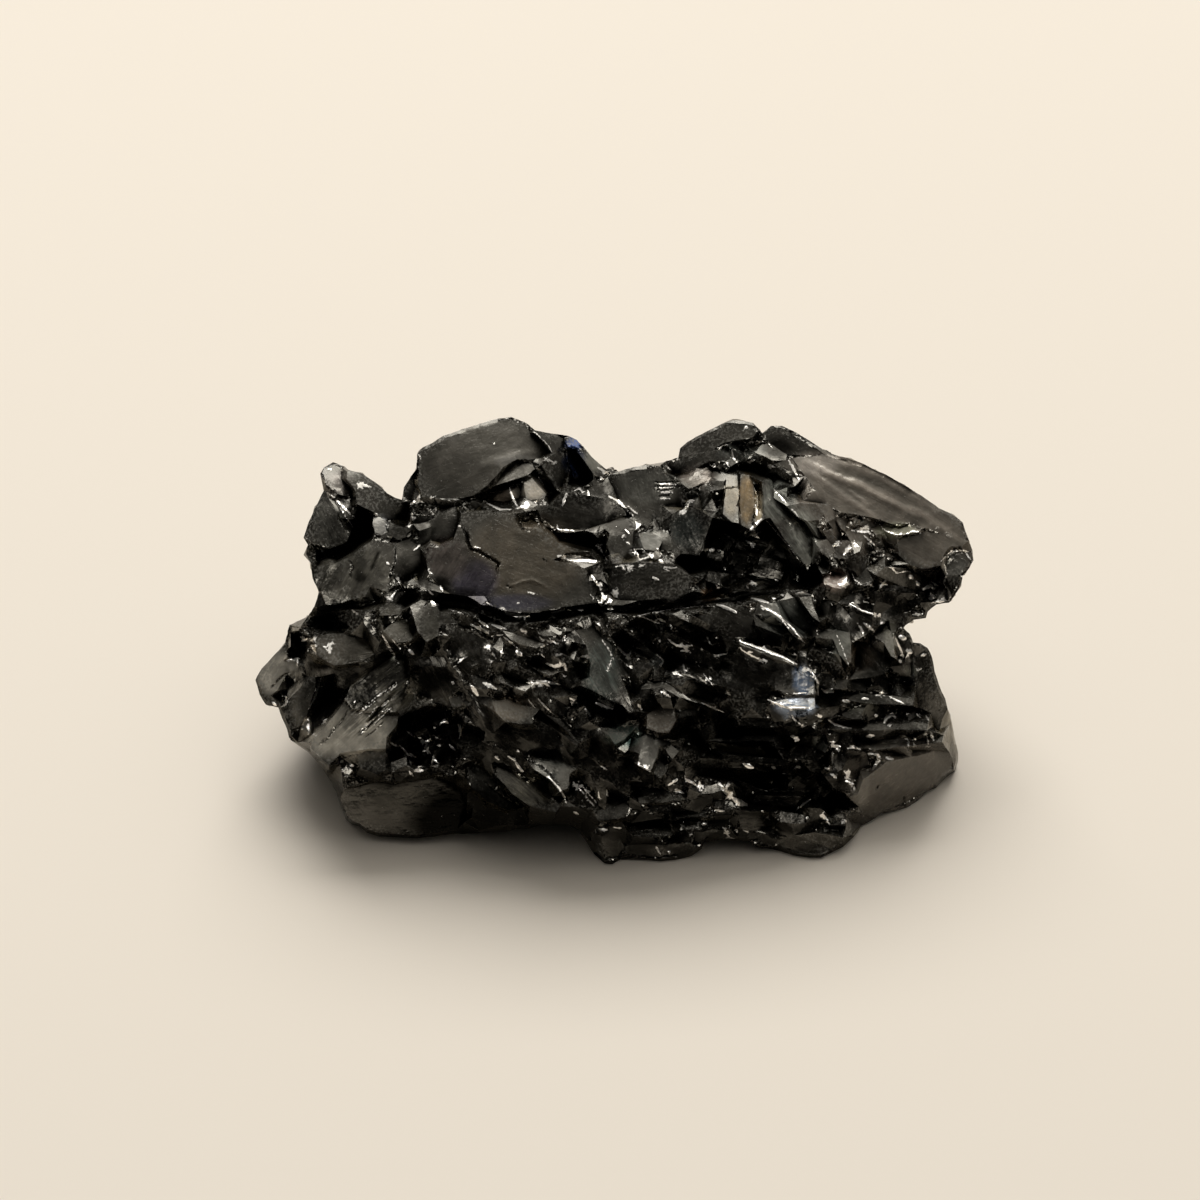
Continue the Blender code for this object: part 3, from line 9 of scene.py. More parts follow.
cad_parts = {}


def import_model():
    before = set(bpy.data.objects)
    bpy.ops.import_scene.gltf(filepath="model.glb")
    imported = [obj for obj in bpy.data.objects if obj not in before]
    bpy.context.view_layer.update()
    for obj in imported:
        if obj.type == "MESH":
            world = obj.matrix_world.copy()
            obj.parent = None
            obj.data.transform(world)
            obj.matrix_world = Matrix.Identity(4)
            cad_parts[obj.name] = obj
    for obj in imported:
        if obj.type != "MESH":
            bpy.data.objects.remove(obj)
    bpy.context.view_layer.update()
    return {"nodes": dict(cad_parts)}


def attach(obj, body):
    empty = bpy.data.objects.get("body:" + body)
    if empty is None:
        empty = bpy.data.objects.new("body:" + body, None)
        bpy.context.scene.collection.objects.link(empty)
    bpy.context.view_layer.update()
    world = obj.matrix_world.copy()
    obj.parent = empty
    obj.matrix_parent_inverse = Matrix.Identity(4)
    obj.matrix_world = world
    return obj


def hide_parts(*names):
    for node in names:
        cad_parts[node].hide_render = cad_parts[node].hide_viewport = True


NODE = "shungite_stone"
MM = 0.001
SEED = 11

# The stone is laid out on a plane that leans back 45 degrees and faces the camera. A place on it is given in
# millimetres, as its `across` and its `rise`.
ACROSS_SHIFT = 0.1
RISE_ZERO_Y = 19.742
LEAN = math.radians(45)

# Framing of the photograph: the middle of the picture, in across and rise, and how much it spans.
VIEW_ACROSS, VIEW_RISE = -1.67, 28.9
VIEW_HEIGHT = 16.0
VIEW_SPAN = 1200 / 9
CAMERA_DISTANCE = 1.4
SENSOR = 36.0

# Longest triangle edge in millimetres, by kind of surface.
CRUMBLE_EDGE = 0.43  # crumbled parts that face the camera
CALM_EDGE = 1.1  # calm breaks that face the camera
RIB_EDGE = 0.55  # ribbed ones
LINE_EDGE = 0.245  # along a crease, a narrow ridge or a bright edge
LINE_REACH = 0.08  # how far beyond such a line, in millimetres
NARROW_RIDGE = 1.3  # a ridge narrower than this counts as such a line
HIDDEN_EDGE = 1.12  # whatever faces away
HIDDEN_FROM = -0.1  # a face that faces the camera less than this is one of them
SPLIT_PASSES = 8
JITTER = 0.06  # how far a split point in a crumbled part is pushed out or in, as a share of its edge
BORDER_JITTER = 0.015
RELAX_TURNS, RELAX_SHARE = 2, 0.7
CALM_AREA = 0.9  # mm2, least area of a break that stays smooth
CALM_ANGLE = math.radians(16)
SHARP_ANGLE = math.radians(20)
WELD = 1e-7  # metres
FAR = 1e9  # beyond any value

# Relief, in millimetres: waves that bend the ribs, steps and crumbs of the crumbled parts, and the back.
WANDER_SIZE, RIPPLE_SIZE = 5.0, 1.6
RIB_WANDER, RIB_RIPPLE = 0.55, 0.10  # how far the waves shift the ribs, as a share of their spacing
RIB_POWER = 0.8
LINE_WOBBLE = 0.12  # how far the waves shift a ridge; a crack and a bright edge take a share of it
CRACK_WOBBLE, GLINT_WOBBLE = 0.5, 0.3
SPLINTER_SIZE, BROAD_SIZE = 3.0, 9.0
STEP_SPACING, STEP_HEIGHT = 0.95, 0.15
FINE_SPACING, FINE_HEIGHT, FINE_LENGTH = 0.42, 0.07, 2.6
CRUMB_HEIGHT, BACK_CRUMB_HEIGHT = 0.035, 0.03
LEDGE_SPACING, LEDGE_HEIGHT, ROUGH_LEDGE_HEIGHT = 2.1, 0.16, 0.10
STEP_WANDER, FINE_WANDER, LEDGE_WANDER, LEDGE_BROAD = 0.7, 0.9, 0.9, 0.7
SWELL_HEIGHT = 0.15
BED_SLOPE = 0.12  # of the fibres on the back, which run almost level
HOLLOW_DEPTH, CREST_HEIGHT = 0.22, 0.30  # at which a hollow takes full painted shade and a crest full paleness, as wear and painted highlight
EDGE_FROM, EDGE_SPAN = 18, 30  # degrees: where an edge starts to catch the light, and over how many more
FADE = 0.45  # share of an oval's reach over which it fades

# Grain: across and rise of the middle of each region, and the direction in degrees that its fibres run in.
GRAIN = (
    (-31, 38.5, -65), (-26, 40, -30), (-15, 44, 20), (-7, 43.5, -60), (-28, 32, 60), (-19, 34, 62),
    (-10, 32, -20), (-3, 38.5, -15), (4, 41.5, -78), (4, 34, -58), (-1, 30.5, -72), (11, 46, 25),
    (14, 40, -88), (19, 38.5, -57), (28, 40.5, -27), (35, 34.5, -30), (26, 35, -60), (15, 33, -15),
    (31, 30, -12), (4, 30.5, -8), (-37.5, 20.5, 62), (-30, 25, 10), (-26.5, 19, 37), (-30, 14, 44),
    (-23, 6, 4), (-18.5, 20, -60), (-20, 13.5, 20), (-10, 24, -19), (-13, 16, -40), (-8, 9, -40),
    (-1.5, 20.5, -62), (4, 24, -30), (12, 24, -24), (20, 26.5, -48), (28, 22.5, -50), (4, 13, -60),
    (14, 17, -14), (16, 12, -6), (29, 16, -5), (18, 7, 0), (32, 9, 28), (4, 4, 3), (22, 3, -6),
    (-3, 7, -48), (35, 19, -75),
)

# Ribs: across and rise of the middle, reach along and across the grain, spacing and height.
RIBS = (
    (-26.3, 19.6, 6, 4.5, 0.72, 0.085), (-29, 14.3, 6, 3.5, 0.85, 0.035),
    (-27.4, 16.4, 4.2, 2.2, 0.46, 0.065), (-31.3, 38.2, 4.5, 3, 0.8, 0.06), (28, 41, 13, 5, 1.9, 0.012),
    (36, 35, 5, 3.5, 1.6, 0.012), (19, 38.2, 6.5, 3, 0.9, 0.06), (13.9, 40, 4.5, 2.5, 0.62, 0.045),
    (-1.2, 21, 7, 3, 0.8, 0.06), (4, 41.5, 3, 4.5, 0.9, 0.045), (-9.5, 8.5, 6.5, 3.5, 0.9, 0.055),
    (-18, 20, 8, 3, 0.85, 0.06), (-23, 6.3, 8, 3.5, 1.7, 0.03), (32.5, 8.8, 6, 3.5, 1.9, 0.045),
    (-28.5, 31.5, 5, 5, 1.5, 0.055), (-18.5, 33.5, 4.5, 4.5, 1.4, 0.05), (20, 27, 4.5, 4, 0.8, 0.05),
    (27.5, 22.8, 4.5, 4, 0.8, 0.045), (-14.5, 45, 9, 4.5, 2.6, 0.03), (-9.5, 33, 9, 6, 2.4, 0.028),
    (4, 14, 4, 3, 0.8, 0.04),
)

# Stone colours, and painted highlights and reflections: across and rise of the middle, reach across and up
# the rise, red, green, blue and amount.
TONES_AND_PAINTED_LIGHT = (
    (28, 40, 12, 7.5, 0.098, 0.082, 0.066, 0.95), (22, 44, 3.6, 1.6, 0.19, 0.168, 0.146, 0.8),
    (36, 35, 5, 4, 0.1, 0.085, 0.068, 0.9), (37.6, 32.6, 1.8, 2, 0.045, 0.045, 0.04, 0.8),
    (31, 36.6, 2.6, 1.1, 0.25, 0.245, 0.17, 0.9), (12.8, 40.4, 1.1, 2.8, 0.085, 0.07, 0.046, 1),
    (14.5, 40, 1.1, 3.2, 0.17, 0.105, 0.036, 1), (15.8, 39.4, 0.6, 2.4, 0.3, 0.23, 0.13, 0.8),
    (18, 40, 2.4, 3, 0.15, 0.155, 0.136, 0.9), (20.6, 35.8, 2.4, 4, 0.17, 0.172, 0.15, 0.9),
    (9, 42.5, 2.2, 1.4, 0.2, 0.17, 0.145, 0.9), (3.5, 41.5, 4, 2.4, 0.046, 0.046, 0.04, 0.8),
    (-4.6, 46.2, 1.2, 0.8, 0.06, 0.11, 0.3, 1), (-4.4, 44.2, 1.6, 1.6, 0.014, 0.026, 0.07, 0.9),
    (-2.4, 44.2, 1.6, 1.4, 0.17, 0.165, 0.14, 0.8), (-9, 41.3, 1.6, 1.5, 0.33, 0.29, 0.235, 1),
    (-12.6, 40.6, 2.2, 1, 0.23, 0.185, 0.14, 0.9), (-10, 33.5, 8, 6, 0.048, 0.037, 0.024, 0.95),
    (-15.5, 31, 3.2, 3, 0.018, 0.014, 0.034, 0.8), (-11, 28.6, 5, 1.2, 0.018, 0.018, 0.044, 0.7),
    (-18.5, 33.5, 3, 3, 0.052, 0.04, 0.036, 0.8), (-28.5, 31.5, 5, 4.5, 0.056, 0.052, 0.041, 0.8),
    (-14, 44.5, 8.5, 5, 0.036, 0.032, 0.026, 0.8), (-10.8, 44.2, 3, 0.9, 0.13, 0.125, 0.115, 0.6),
    (-30.9, 41.8, 1.8, 1.6, 0.19, 0.17, 0.155, 0.8), (-31.6, 38, 2.4, 3.4, 0.034, 0.033, 0.028, 0.8),
    (-25.9, 37.2, 1.1, 1.3, 0.2, 0.2, 0.2, 0.8), (-37.4, 20.6, 2.8, 3.2, 0.28, 0.26, 0.22, 0.9),
    (-34.6, 17, 1.6, 3, 0.13, 0.12, 0.1, 0.9), (-27.5, 5.6, 5, 3.6, 0.06, 0.055, 0.048, 0.8),
    (14, 45.3, 3.2, 1.3, 0.08, 0.085, 0.078, 0.8), (-20.4, 26, 1.2, 2.8, 0.04, 0.037, 0.029, 0.9),
    (-19.6, 18, 2, 1.2, 0.07, 0.064, 0.052, 0.8), (-24.1, 21.8, 0.9, 1.6, 0.13, 0.14, 0.11, 0.8),
    (32.8, 21.2, 0.9, 0.6, 0.12, 0.125, 0.105, 0.8), (22.7, 13, 1, 1, 0.11, 0.115, 0.1, 0.9),
    (9.4, 20.3, 0.9, 0.6, 0.12, 0.11, 0.09, 0.8), (4.6, 22.3, 0.9, 0.8, 0.11, 0.12, 0.115, 0.8),
    (25.4, 18.9, 0.8, 2, 0.07, 0.062, 0.05, 0.9), (27.3, 17, 2, 0.9, 0.09, 0.09, 0.07, 0.8),
    (36.4, 29.3, 0.9, 0.7, 0.26, 0.255, 0.235, 0.9), (30.4, 24.6, 0.9, 2.6, 0.13, 0.125, 0.1, 0.8),
    (-29.3, 14.2, 6.4, 3.6, 0.33, 0.305, 0.255, 1), (-25.4, 19.2, 4.2, 3.6, 0.075, 0.069, 0.052, 0.95),
    (-30, 23.5, 4.5, 2.2, 0.05, 0.043, 0.032, 0.8), (-24.5, 26, 2.5, 2.5, 0.04, 0.036, 0.027, 0.8),
    (-25, 7.2, 5, 1.9, 0.024, 0.022, 0.017, 0.9), (-11.5, 17, 2.8, 1.8, 0.095, 0.074, 0.052, 0.9),
    (-1.5, 20.5, 2.4, 5, 0.036, 0.048, 0.043, 0.9), (1, 14, 2.4, 1.6, 0.06, 0.095, 0.084, 0.8),
    (-9.5, 8, 4, 2.2, 0.1, 0.092, 0.07, 0.9), (-7, 10.4, 2.4, 2, 0.09, 0.092, 0.082, 0.9),
    (3.9, 12.4, 1.5, 2.6, 0.14, 0.138, 0.124, 0.9), (5, 15.6, 2.2, 2, 0.046, 0.034, 0.024, 0.8),
    (3.9, 35.5, 1.6, 1.4, 0.18, 0.18, 0.165, 0.9), (24.3, 31, 1.8, 1.1, 0.33, 0.23, 0.2, 0.9),
    (26.5, 22.8, 2.8, 2.2, 0.075, 0.055, 0.038, 0.7), (24.8, 24, 1.6, 2.4, 0.1, 0.105, 0.092, 0.9),
    (19, 26.8, 3.4, 2.6, 0.07, 0.074, 0.066, 0.8), (20.8, 20, 1.3, 1.9, 0.045, 0.12, 0.26, 0.9),
    (19.8, 17.1, 2.8, 1.2, 0.62, 0.74, 0.95, 1), (31.8, 8.4, 9, 6.4, 0.084, 0.073, 0.06, 0.95),
    (27.2, 8.2, 1.2, 2.8, 0.2, 0.182, 0.155, 0.9), (10.4, 29.4, 1.2, 0.8, 0.22, 0.12, 0.055, 0.9),
    (8, 36.5, 2.4, 2.4, 0.018, 0.027, 0.027, 0.8), (21.5, 2.2, 4.5, 1.8, 0.03, 0.026, 0.02, 0.8),
)

# Long ridges and, where negative, grooves: width, height, how much painted highlight each lays on the stone
# (painted shade where negative), and then the across and rise of each point of its line.
RIDGES = (
    (2.2, 0.05, 0.8, 19.5, 44.4, 22, 43.9, 24.5, 42.9, 27.5, 41.5),
    (1.1, 0.08, 1.1, 19.5, 44.7, 22, 43.8, 25, 42.3, 27, 41.7, 30, 40.1, 32, 39.1, 34, 38.3, 36, 37.1,
     38, 35.7, 39.1, 34.8),
    (1.2, 0.07, 0.8, 21.2, 43.2, 23, 41.9, 25, 40.4, 27, 39.2, 29, 37.8, 29.6, 37.2),
    (1, 0.04, 0.5, 23.5, 44.5, 27, 43.5, 29, 42.7, 31, 41.5, 33, 40.4, 35, 38.9),
    (0.8, 0.05, 0.5, 25.5, 41.2, 27, 40.2, 28.2, 39),
    (1.4, -0.03, -0.6, 22, 43.4, 25, 43.1, 28, 42.2, 31, 40.9, 34, 39.3),
    (1.6, -0.03, -0.3, 24, 41.6, 28, 40.3, 32, 38.2, 34.5, 37),
    (0.6, 0.08, 1.6, 39, 34.1, 38.3, 34.4, 37.4, 34.2, 36.6, 33.6, 36.2, 32.8, 36.4, 32, 36.7, 31.2,
     36.5, 30.4),
    (1.4, 0.1, 0.8, -15.5, 43.4, -13, 44.3, -10.8, 44.9, -8.6, 45.4),
    (0.5, 0.06, 0.7, -12, 30.3, -10.5, 31, -9, 31.1, -7, 30),
    (0.7, 0.1, 0.7, -32, 40.8, -30.4, 39.2, -28.8, 37.2),
    (1.1, 0.22, 0.6, -19.5, 25, -17.5, 21, -16.8, 20, -15, 16.5, -13, 13),
    (0.7, 0.1, 0.6, 16.6, 41.6, 17.6, 39.2, 19.6, 36.8, 21, 33.6),
    (0.5, 0.06, 0.9, -30.2, 8, -28, 8.5, -26, 9, -22.5, 8.9, -20, 9.3),
)

# Hairline cracks and creases, cut as grooves, with painted shade along them: width, depth, and then the
# across and rise of each point of the line.
HAIRLINES = (
    (0.5, 0.35, -17.1, 37.1, -16.4, 36.2, -16.1, 35, -15.9, 34.5, -15.1, 34.3, -14.2, 33.8, -12.8, 33,
     -13, 32.3, -13.1, 31.5),
    (0.3, 0.2, -38.3, 19, -37.3, 20.1, -36, 21.2), (0.26, 0.16, 4.2, 41.9, 6.8, 41.95),
    (0.26, 0.16, 4.3, 41.5, 6.6, 41.5), (0.26, 0.16, 4.3, 41.1, 6.5, 41.1),
    (0.26, 0.16, 4.6, 40.4, 6.3, 40.5), (0.3, 0.15, -32.5, 42, -31.4, 41, -30.2, 40.2, -29.1, 40.1),
    (0.4, 0.2, -30.9, 38.6, -30.1, 37.2, -29.4, 36.4),
    (0.24, 0.12, -32.9, 12.7, -31.7, 13.6, -31.2, 14.4, -30.4, 15.2, -29.9, 15.9, -29.4, 17),
    (0.24, 0.12, -28.4, 14.1, -27.2, 15, -26, 16.2), (0.3, 0.16, -27.6, 15.3, -26.7, 16, -25, 17.6),
    (0.22, 0.1, -27.6, 13.7, -26.4, 14.6, -25.4, 15.7),
    (0.45, 0.2, -27.6, 15.1, -26.6, 16.3, -25.6, 17.3, -24.3, 18.7),
    (0.28, 0.12, -27.8, 14.3, -26.8, 15.3, -25.9, 16.2), (0.25, 0.1, -28.4, 13.8, -27, 15.1),
    (0.32, 0.12, -28.9, 16.1, -27.7, 17.2, -26.9, 17.9), (0.32, 0.12, -26.4, 18, -25.2, 18.9, -24.1, 20),
    (0.24, 0.1, -29, 17, -28, 17.8), (0.24, 0.1, -26.6, 15, -25.2, 16.4),
    (0.35, 0.2, -10.6, 38, -10.3, 36.8, -9.1, 36.7), (0.28, 0.12, -12, 30.5, -11.4, 30.2),
    (0.24, 0.1, -8, 33.5, -7.5, 33), (0.3, 0.16, 6.9, 41.7, 7.9, 40.8, 10.7, 42.4),
    (0.3, 0.16, 5.1, 44, 5.5, 43, 6.7, 42.1), (0.22, 0.12, 13.75, 42.8, 13.7, 40.4, 13.75, 37.7),
    (0.18, 0.08, 12, 41.2, 13.6, 41.4), (0.3, 0.18, 14.9, 42.6, 15.5, 41.7, 15.9, 40.3, 15.9, 38.4),
    (0.35, 0.2, -5, 46, -4.3, 45.7, -3.7, 45.3), (0.3, 0.14, -30, 8.1, -28.4, 8.3, -27, 8.8, -26.2, 9),
    (0.35, 0.18, -30.7, 11.4, -30.1, 11.7, -29.3, 11.1, -28.2, 10.4), (0.26, 0.12, 29.2, 8.4, 28.9, 7.9),
    (0.3, 0.14, 32.1, 7.2, 32.2, 5.8), (0.3, 0.14, -14.6, 8.9, -11.6, 6.7, -9, 5.2),
    (0.28, 0.16, -9.8, 11.4, -8.3, 10.7, -7, 9.6, -6, 8.3), (0.3, 0.16, 18.6, 35.6, 19.6, 34.2, 20.8, 32.9),
    (0.36, 0.14, -29.4, 33.4, -28.9, 32.7, -29.1, 32.1, -29.2, 31.2),
    (0.28, 0.1, -24.9, 32.7, -24.3, 31.3, -23.2, 29.8), (0.6, 0.04, -27, 32, -26, 34.4),
    (1, 0.02, 23, 45.2, 26, 44.4, 28, 43.7, 30, 42.7, 32, 41.5, 34.5, 39.9),
)

# Painted glints along broken edges, as bright, mirror-like metal. For each brightness: the width of each
# edge, and then the across and rise of each point of its line.
GLINTS = {
    1: (
        (0.35, -34.7, 24.4, -34.1, 24.6), (0.3, -24.1, 29.9, -24.7, 29.1, -25.4, 29.3),
        (0.4, -22.7, 23.4, -22.2, 22.9), (0.5, -20.2, 28.8, -20, 28.4, -19.5, 28.4),
        (0.35, 1.4, 32.3, 2, 32.7), (0.42, -9.7, 19.8, -8.7, 19.7, -7.6, 19.9, -6.1, 19.6),
        (0.48, -15.9, 19.5, -15.1, 18.4), (0.35, -2.3, 17.6, -1.4, 17.3, -0.3, 16.9),
        (0.35, 4.8, 33.4, 5.3, 32.9), (0.22, 5.3, 32.5, 6.7, 32.45), (0.35, 4.1, 31.4, 4.8, 31.1),
        (0.28, 12, 32.5, 12.2, 32.2), (0.4, 11.2, 28.4, 12.4, 28, 13.4, 27.5),
        (0.3, 19.9, 29.6, 20.7, 29.7, 21.5, 29.5),
        (0.35, 13.7, 24.4, 15.1, 23.9, 16.7, 23.3, 18.4, 22.7, 20, 21.8),
        (0.22, 13.7, 23.8, 13.9, 23.4, 15.2, 22.7, 16.6, 22.1), (0.35, 6.4, 21.9, 6.5, 21.2),
        (0.4, 10.4, 20.4, 10.6, 20.2), (0.5, 24.1, 34.9, 24.6, 35.1), (0.28, 25.1, 33.8, 26.1, 34.8),
        (0.35, 30.1, 33.5, 30.3, 33.5), (0.3, 31, 31.9, 31.3, 31.9), (0.6, 32.6, 31.6, 32.9, 31.3),
        (0.5, 33.4, 30.9, 33.7, 30.5), (0.5, 34.1, 30.1, 35, 30.5, 35.4, 30.1),
        (0.3, 35.1, 30.9, 35.8, 30.5), (0.45, 34.8, 29.1, 35.3, 29.1), (0.35, 35.4, 28.75, 36.4, 28.75),
        (0.3, 33, 27.3, 34, 27.3), (0.5, 24.7, 30.6, 25.2, 30.6, 25.8, 31.1), (0.7, 31.5, 24.9, 32.1, 24.6),
        (0.32, 27.2, 18, 28, 18), (0.4, 28.7, 16.1, 29, 16.1),
        (0.4, 29.7, 15.2, 30, 15.9, 30.7, 16.3, 31, 15.9), (0.5, 30.2, 15, 30.5, 15.1),
        (0.45, 24, 12.7, 24.9, 12.7), (0.45, 30, 11.5, 30.8, 11.3),
        (0.49, 11.4, 8.8, 11.9, 8.1, 12.4, 7.5, 13, 7), (0.84, 13, 7, 13.8, 6.5, 14.5, 6.3),
        (0.28, 11, 5.7, 12.1, 5.6), (0.35, -11, 11, -10.2, 10), (0.25, -1.05, 8.1, -0.8, 7.2),
        (0.35, -1.8, 3.6, -0.9, 3.5), (0.55, -22.1, 10.1, -21.2, 10.1), (0.4, -26.5, 38.4, -26.3, 38.2),
        (0.45, -22.6, 39.5, -21.8, 39.9, -21.6, 40.5), (0.35, -17.3, 37.1, -17.1, 37),
        (0.35, -10.9, 39, -9.4, 39.5, -8.7, 39.8), (0.28, 7.4, 38.7, 7.9, 39.2, 8.3, 39.8),
        (0.32, 15.5, 39.4, 15.7, 38.2), (0.25, 15.2, 36, 15.9, 35.8),
    ),
    0.9: (
        (0.3, -19.4, 15.1, -19, 15.6, -18.5, 15.4), (0.8, -6.3, 33.7, -4.6, 33.5, -2.2, 33.2),
        (0.25, -33.7, 24.4, -33.2, 24.6), (0.25, -33.6, 23.9, -32.9, 23.8),
        (0.25, -33.6, 23.8, -33.3, 23.4, -33, 23.1), (0.25, -31.9, 23.5, -31.3, 23.1),
        (0.35, -38, 17.6, -37.5, 17.2), (0.45, -34.7, 14.6, -34.2, 15.6, -33.8, 15.9),
        (0.45, -33.8, 15.9, -33.7, 14.8, -33.9, 14.1), (0.4, -32.1, 15.4, -32, 15.7),
        (0.3, -25.8, 17.1, -25, 17.8), (0.4, -25.2, 32.8, -25, 33), (0.26, -7, 27.5, -5.6, 27.8),
        (0.22, -4.2, 27.8, -3.4, 27.85), (0.3, -0.8, 27.9, -0.3, 27.9), (0.6, -1.9, 30.7, -1.5, 30.5),
        (0.35, -1.6, 30.2, -1.3, 29.3, -1.6, 28.2), (0.3, 2.6, 32.6, 3.1, 32.7),
        (0.22, -9.7, 29.8, -8.6, 29.5), (0.42, -15.9, 26.2, -15, 25.8, -13.9, 25.2),
        (0.34, -15, 26.6, -13.9, 25.9), (0.34, -13.6, 26.2, -12, 25.7), (0.6, -10.9, 23.3, -10.3, 22.8),
        (0.48, -7.6, 21.9, -6.7, 21.6, -5.6, 21.8, -5.4, 21.2), (0.22, -3.9, 22.7, -3.1, 22.7),
        (0.3, -18, 19.9, -17.7, 19.7), (0.3, 0.3, 23.7, 0.8, 23.2, 1.7, 22.4), (0.3, 1.8, 25.5, 2, 25.5),
        (0.22, 2.2, 34.5, 3, 34.5, 3.9, 33.7, 2.7, 33.3, 2.4, 34.1), (0.22, 5.3, 32.4, 7.4, 31.3),
        (0.28, 17.7, 31.2, 18, 31), (0.25, 13.4, 28.7, 13.9, 28.6), (0.22, 17.3, 29.2, 17.7, 29),
        (0.3, 6, 24.4, 6.8, 23.9, 7.5, 23.8, 8.5, 23.9), (0.25, 6.7, 20.8, 7.5, 20.5),
        (0.35, 5, 18.9, 6.1, 18.2), (0.22, 9.5, 17.6, 10.8, 17, 12, 16.5), (0.4, 2.5, 17.4, 2.8, 17.1),
        (0.35, 26.1, 36.6, 26.8, 36.5, 28.1, 36.4, 28.3, 36), (0.28, 29.3, 33.8, 29.7, 33.9),
        (0.25, 38.8, 34.2, 39.4, 33.3), (0.22, 25.9, 28.5, 27.2, 27.7, 29, 27.2, 29.6, 27.2),
        (0.35, 29.3, 26.3, 29.8, 26.4), (0.3, 31, 24.7, 31.4, 23.8, 31.9, 22.6),
        (0.35, 31.5, 22.1, 31.7, 22.1), (0.25, 19.8, 18.6, 21.1, 18.7),
        (0.3, 16.8, 17.9, 18.5, 17.2, 19.6, 16.8), (0.25, 22.4, 16.3, 22.9, 16),
        (0.3, 23.5, 15.7, 24.2, 15.2, 25.2, 14.9, 26.1, 14.7), (0.52, 27.9, 13.8, 28.6, 13.9),
        (0.25, 34.1, 14, 34.5, 14.1), (0.25, 34.9, 14, 35.3, 13.3), (0.35, 19.4, 13.9, 19.9, 13.8),
        (0.39, 25.7, 12.5, 26.3, 12.7, 27.1, 12.4), (0.4, 17.3, 10.5, 17.7, 10.3),
        (0.3, 19.8, 10.3, 20.3, 10.6), (0.52, 24.2, 9.5, 24.4, 9.3), (0.39, 25.7, 9.6, 25.6, 9.1),
        (0.42, 5.9, 8.5, 7, 9.2, 7.7, 9.1, 8.6, 8.7, 9.2, 8.3), (0.39, 6.6, 8, 7.6, 7.6),
        (0.42, 9.3, 8.9, 9.3, 8), (0.39, 12.5, 8.8, 12.3, 8.1), (0.28, 9.6, 4.1, 10.1, 4.2),
        (0.35, 13.3, 3.5, 13.5, 3.3), (0.3, 21.1, 4.9, 21.4, 4.8), (0.25, 22.7, 5.1, 23.3, 4.8, 23.7, 4.1),
        (0.3, 25.4, 4.6, 25.6, 4.3), (0.3, 2.2, 11, 3, 10.5, 3.9, 10),
        (0.25, -19.4, 15.2, -19, 15.5, -18.5, 15.3), (0.3, -13.2, 11.7, -12.8, 11.3),
        (0.28, -11.9, 11.7, -10.7, 11.1), (0.22, -7.4, 9.5, -6.2, 8.3, -5.6, 7.2, -5.4, 6.5),
        (0.22, -0.2, 3.8, 0.7, 3.7), (0.3, -22.7, 10, -22.3, 9.5), (0.4, -30.3, 11, -30, 11.2),
        (0.35, -31.8, 43.4, -31.4, 43.2), (0.3, -20.7, 38.2, -20.5, 38.2), (0.35, -32.5, 34.4, -32.3, 34.2),
        (0.2, -13.6, 46, -13.2, 46.4), (0.25, -8.8, 43.5, -8.1, 42.9), (0.2, -15.8, 34.7, -14.9, 34.6),
        (0.35, -5.4, 40.7, -5.8, 39.3), (0.22, -4.5, 41, -3.9, 41.3, -3.6, 40.8),
        (0.22, -3, 41, -2.8, 40.2), (0.3, -1.6, 42.3, -1.3, 42.3), (0.22, -1.5, 39.3, -1.2, 39.5),
        (0.25, 2.3, 37.5, 2.7, 36.6), (0.3, -2, 43.6, -0.7, 42.9), (0.24, 4.9, 41.7, 6.7, 41.7),
        (0.24, 4.9, 41.3, 6.6, 41.3), (0.28, 11.3, 45.8, 11.6, 45.5), (0.3, 14.8, 44.2, 15.3, 44.3),
        (0.3, 10.9, 43.7, 11.2, 43.9),
    ),
    0.8: (
        (0.25, -17.3, 15.2, -17.1, 14.2, -17.2, 13.6), (0.28, -21.3, 13.5, -20.8, 13, -21.2, 12.2),
        (0.22, -22.9, 14.4, -22.3, 13.7), (0.26, -22.7, 11.2, -22.5, 10.7),
        (0.25, -32.2, 23.8, -31.8, 23.6), (0.3, -36.4, 22.2, -35.2, 22.4, -35.2, 21.6),
        (0.3, -37, 18.4, -36.5, 18.1, -36.3, 17.7, -36.5, 17.3, -36.9, 17.1),
        (0.25, -29, 17.5, -28.6, 17.8), (0.25, -25.4, 29.3, -24.5, 28.8), (0.25, -19.3, 30.5, -19, 29.9),
        (0.42, -12.9, 27.9, -12.3, 28, -11.9, 27.4, -10.8, 27.2, -9.4, 27.1),
        (0.25, -0.2, 29.9, -0.1, 29.5), (0.26, -14, 23.7, -13.1, 22.5), (0.36, -12.6, 23.1, -12.2, 23),
        (0.3, -17.3, 22, -16.5, 22.6), (0.26, -7.4, 24.7, -6.2, 24), (0.3, -3.5, 22, -3.3, 22),
        (0.3, -6.8, 20.3, -6.5, 20.3), (0.3, -8, 19.8, -7.2, 19.4), (0.54, -14.5, 19.8, -13.1, 19.1),
        (0.4, -5, 18.1, -4.1, 17.5), (0.35, -3.3, 17, -2.7, 16.1), (0.3, 1.3, 21.8, 1.8, 21.4),
        (0.6, 10.5, 34.4, 11, 34.5), (0.22, 14.8, 30.7, 15.4, 30.8), (0.25, 14.5, 30.4, 14.7, 30.2),
        (0.35, 15.1, 29.1, 16, 28.9, 16.9, 28.6), (0.32, 16, 28.3, 17.3, 27.6, 18.9, 26.5, 20.5, 24.6),
        (0.35, 18.3, 29.5, 18.6, 29.4), (0.35, 4.8, 26.8, 5.4, 26.5), (0.22, 14.6, 23.2, 15.2, 23.1),
        (0.22, 11.2, 22.8, 11.8, 22.9, 12.4, 23), (0.25, 7.4, 22.1, 7.7, 20.8),
        (0.22, 12.5, 21.1, 12.7, 21.1), (0.22, 12.2, 18.8, 12.7, 18.4),
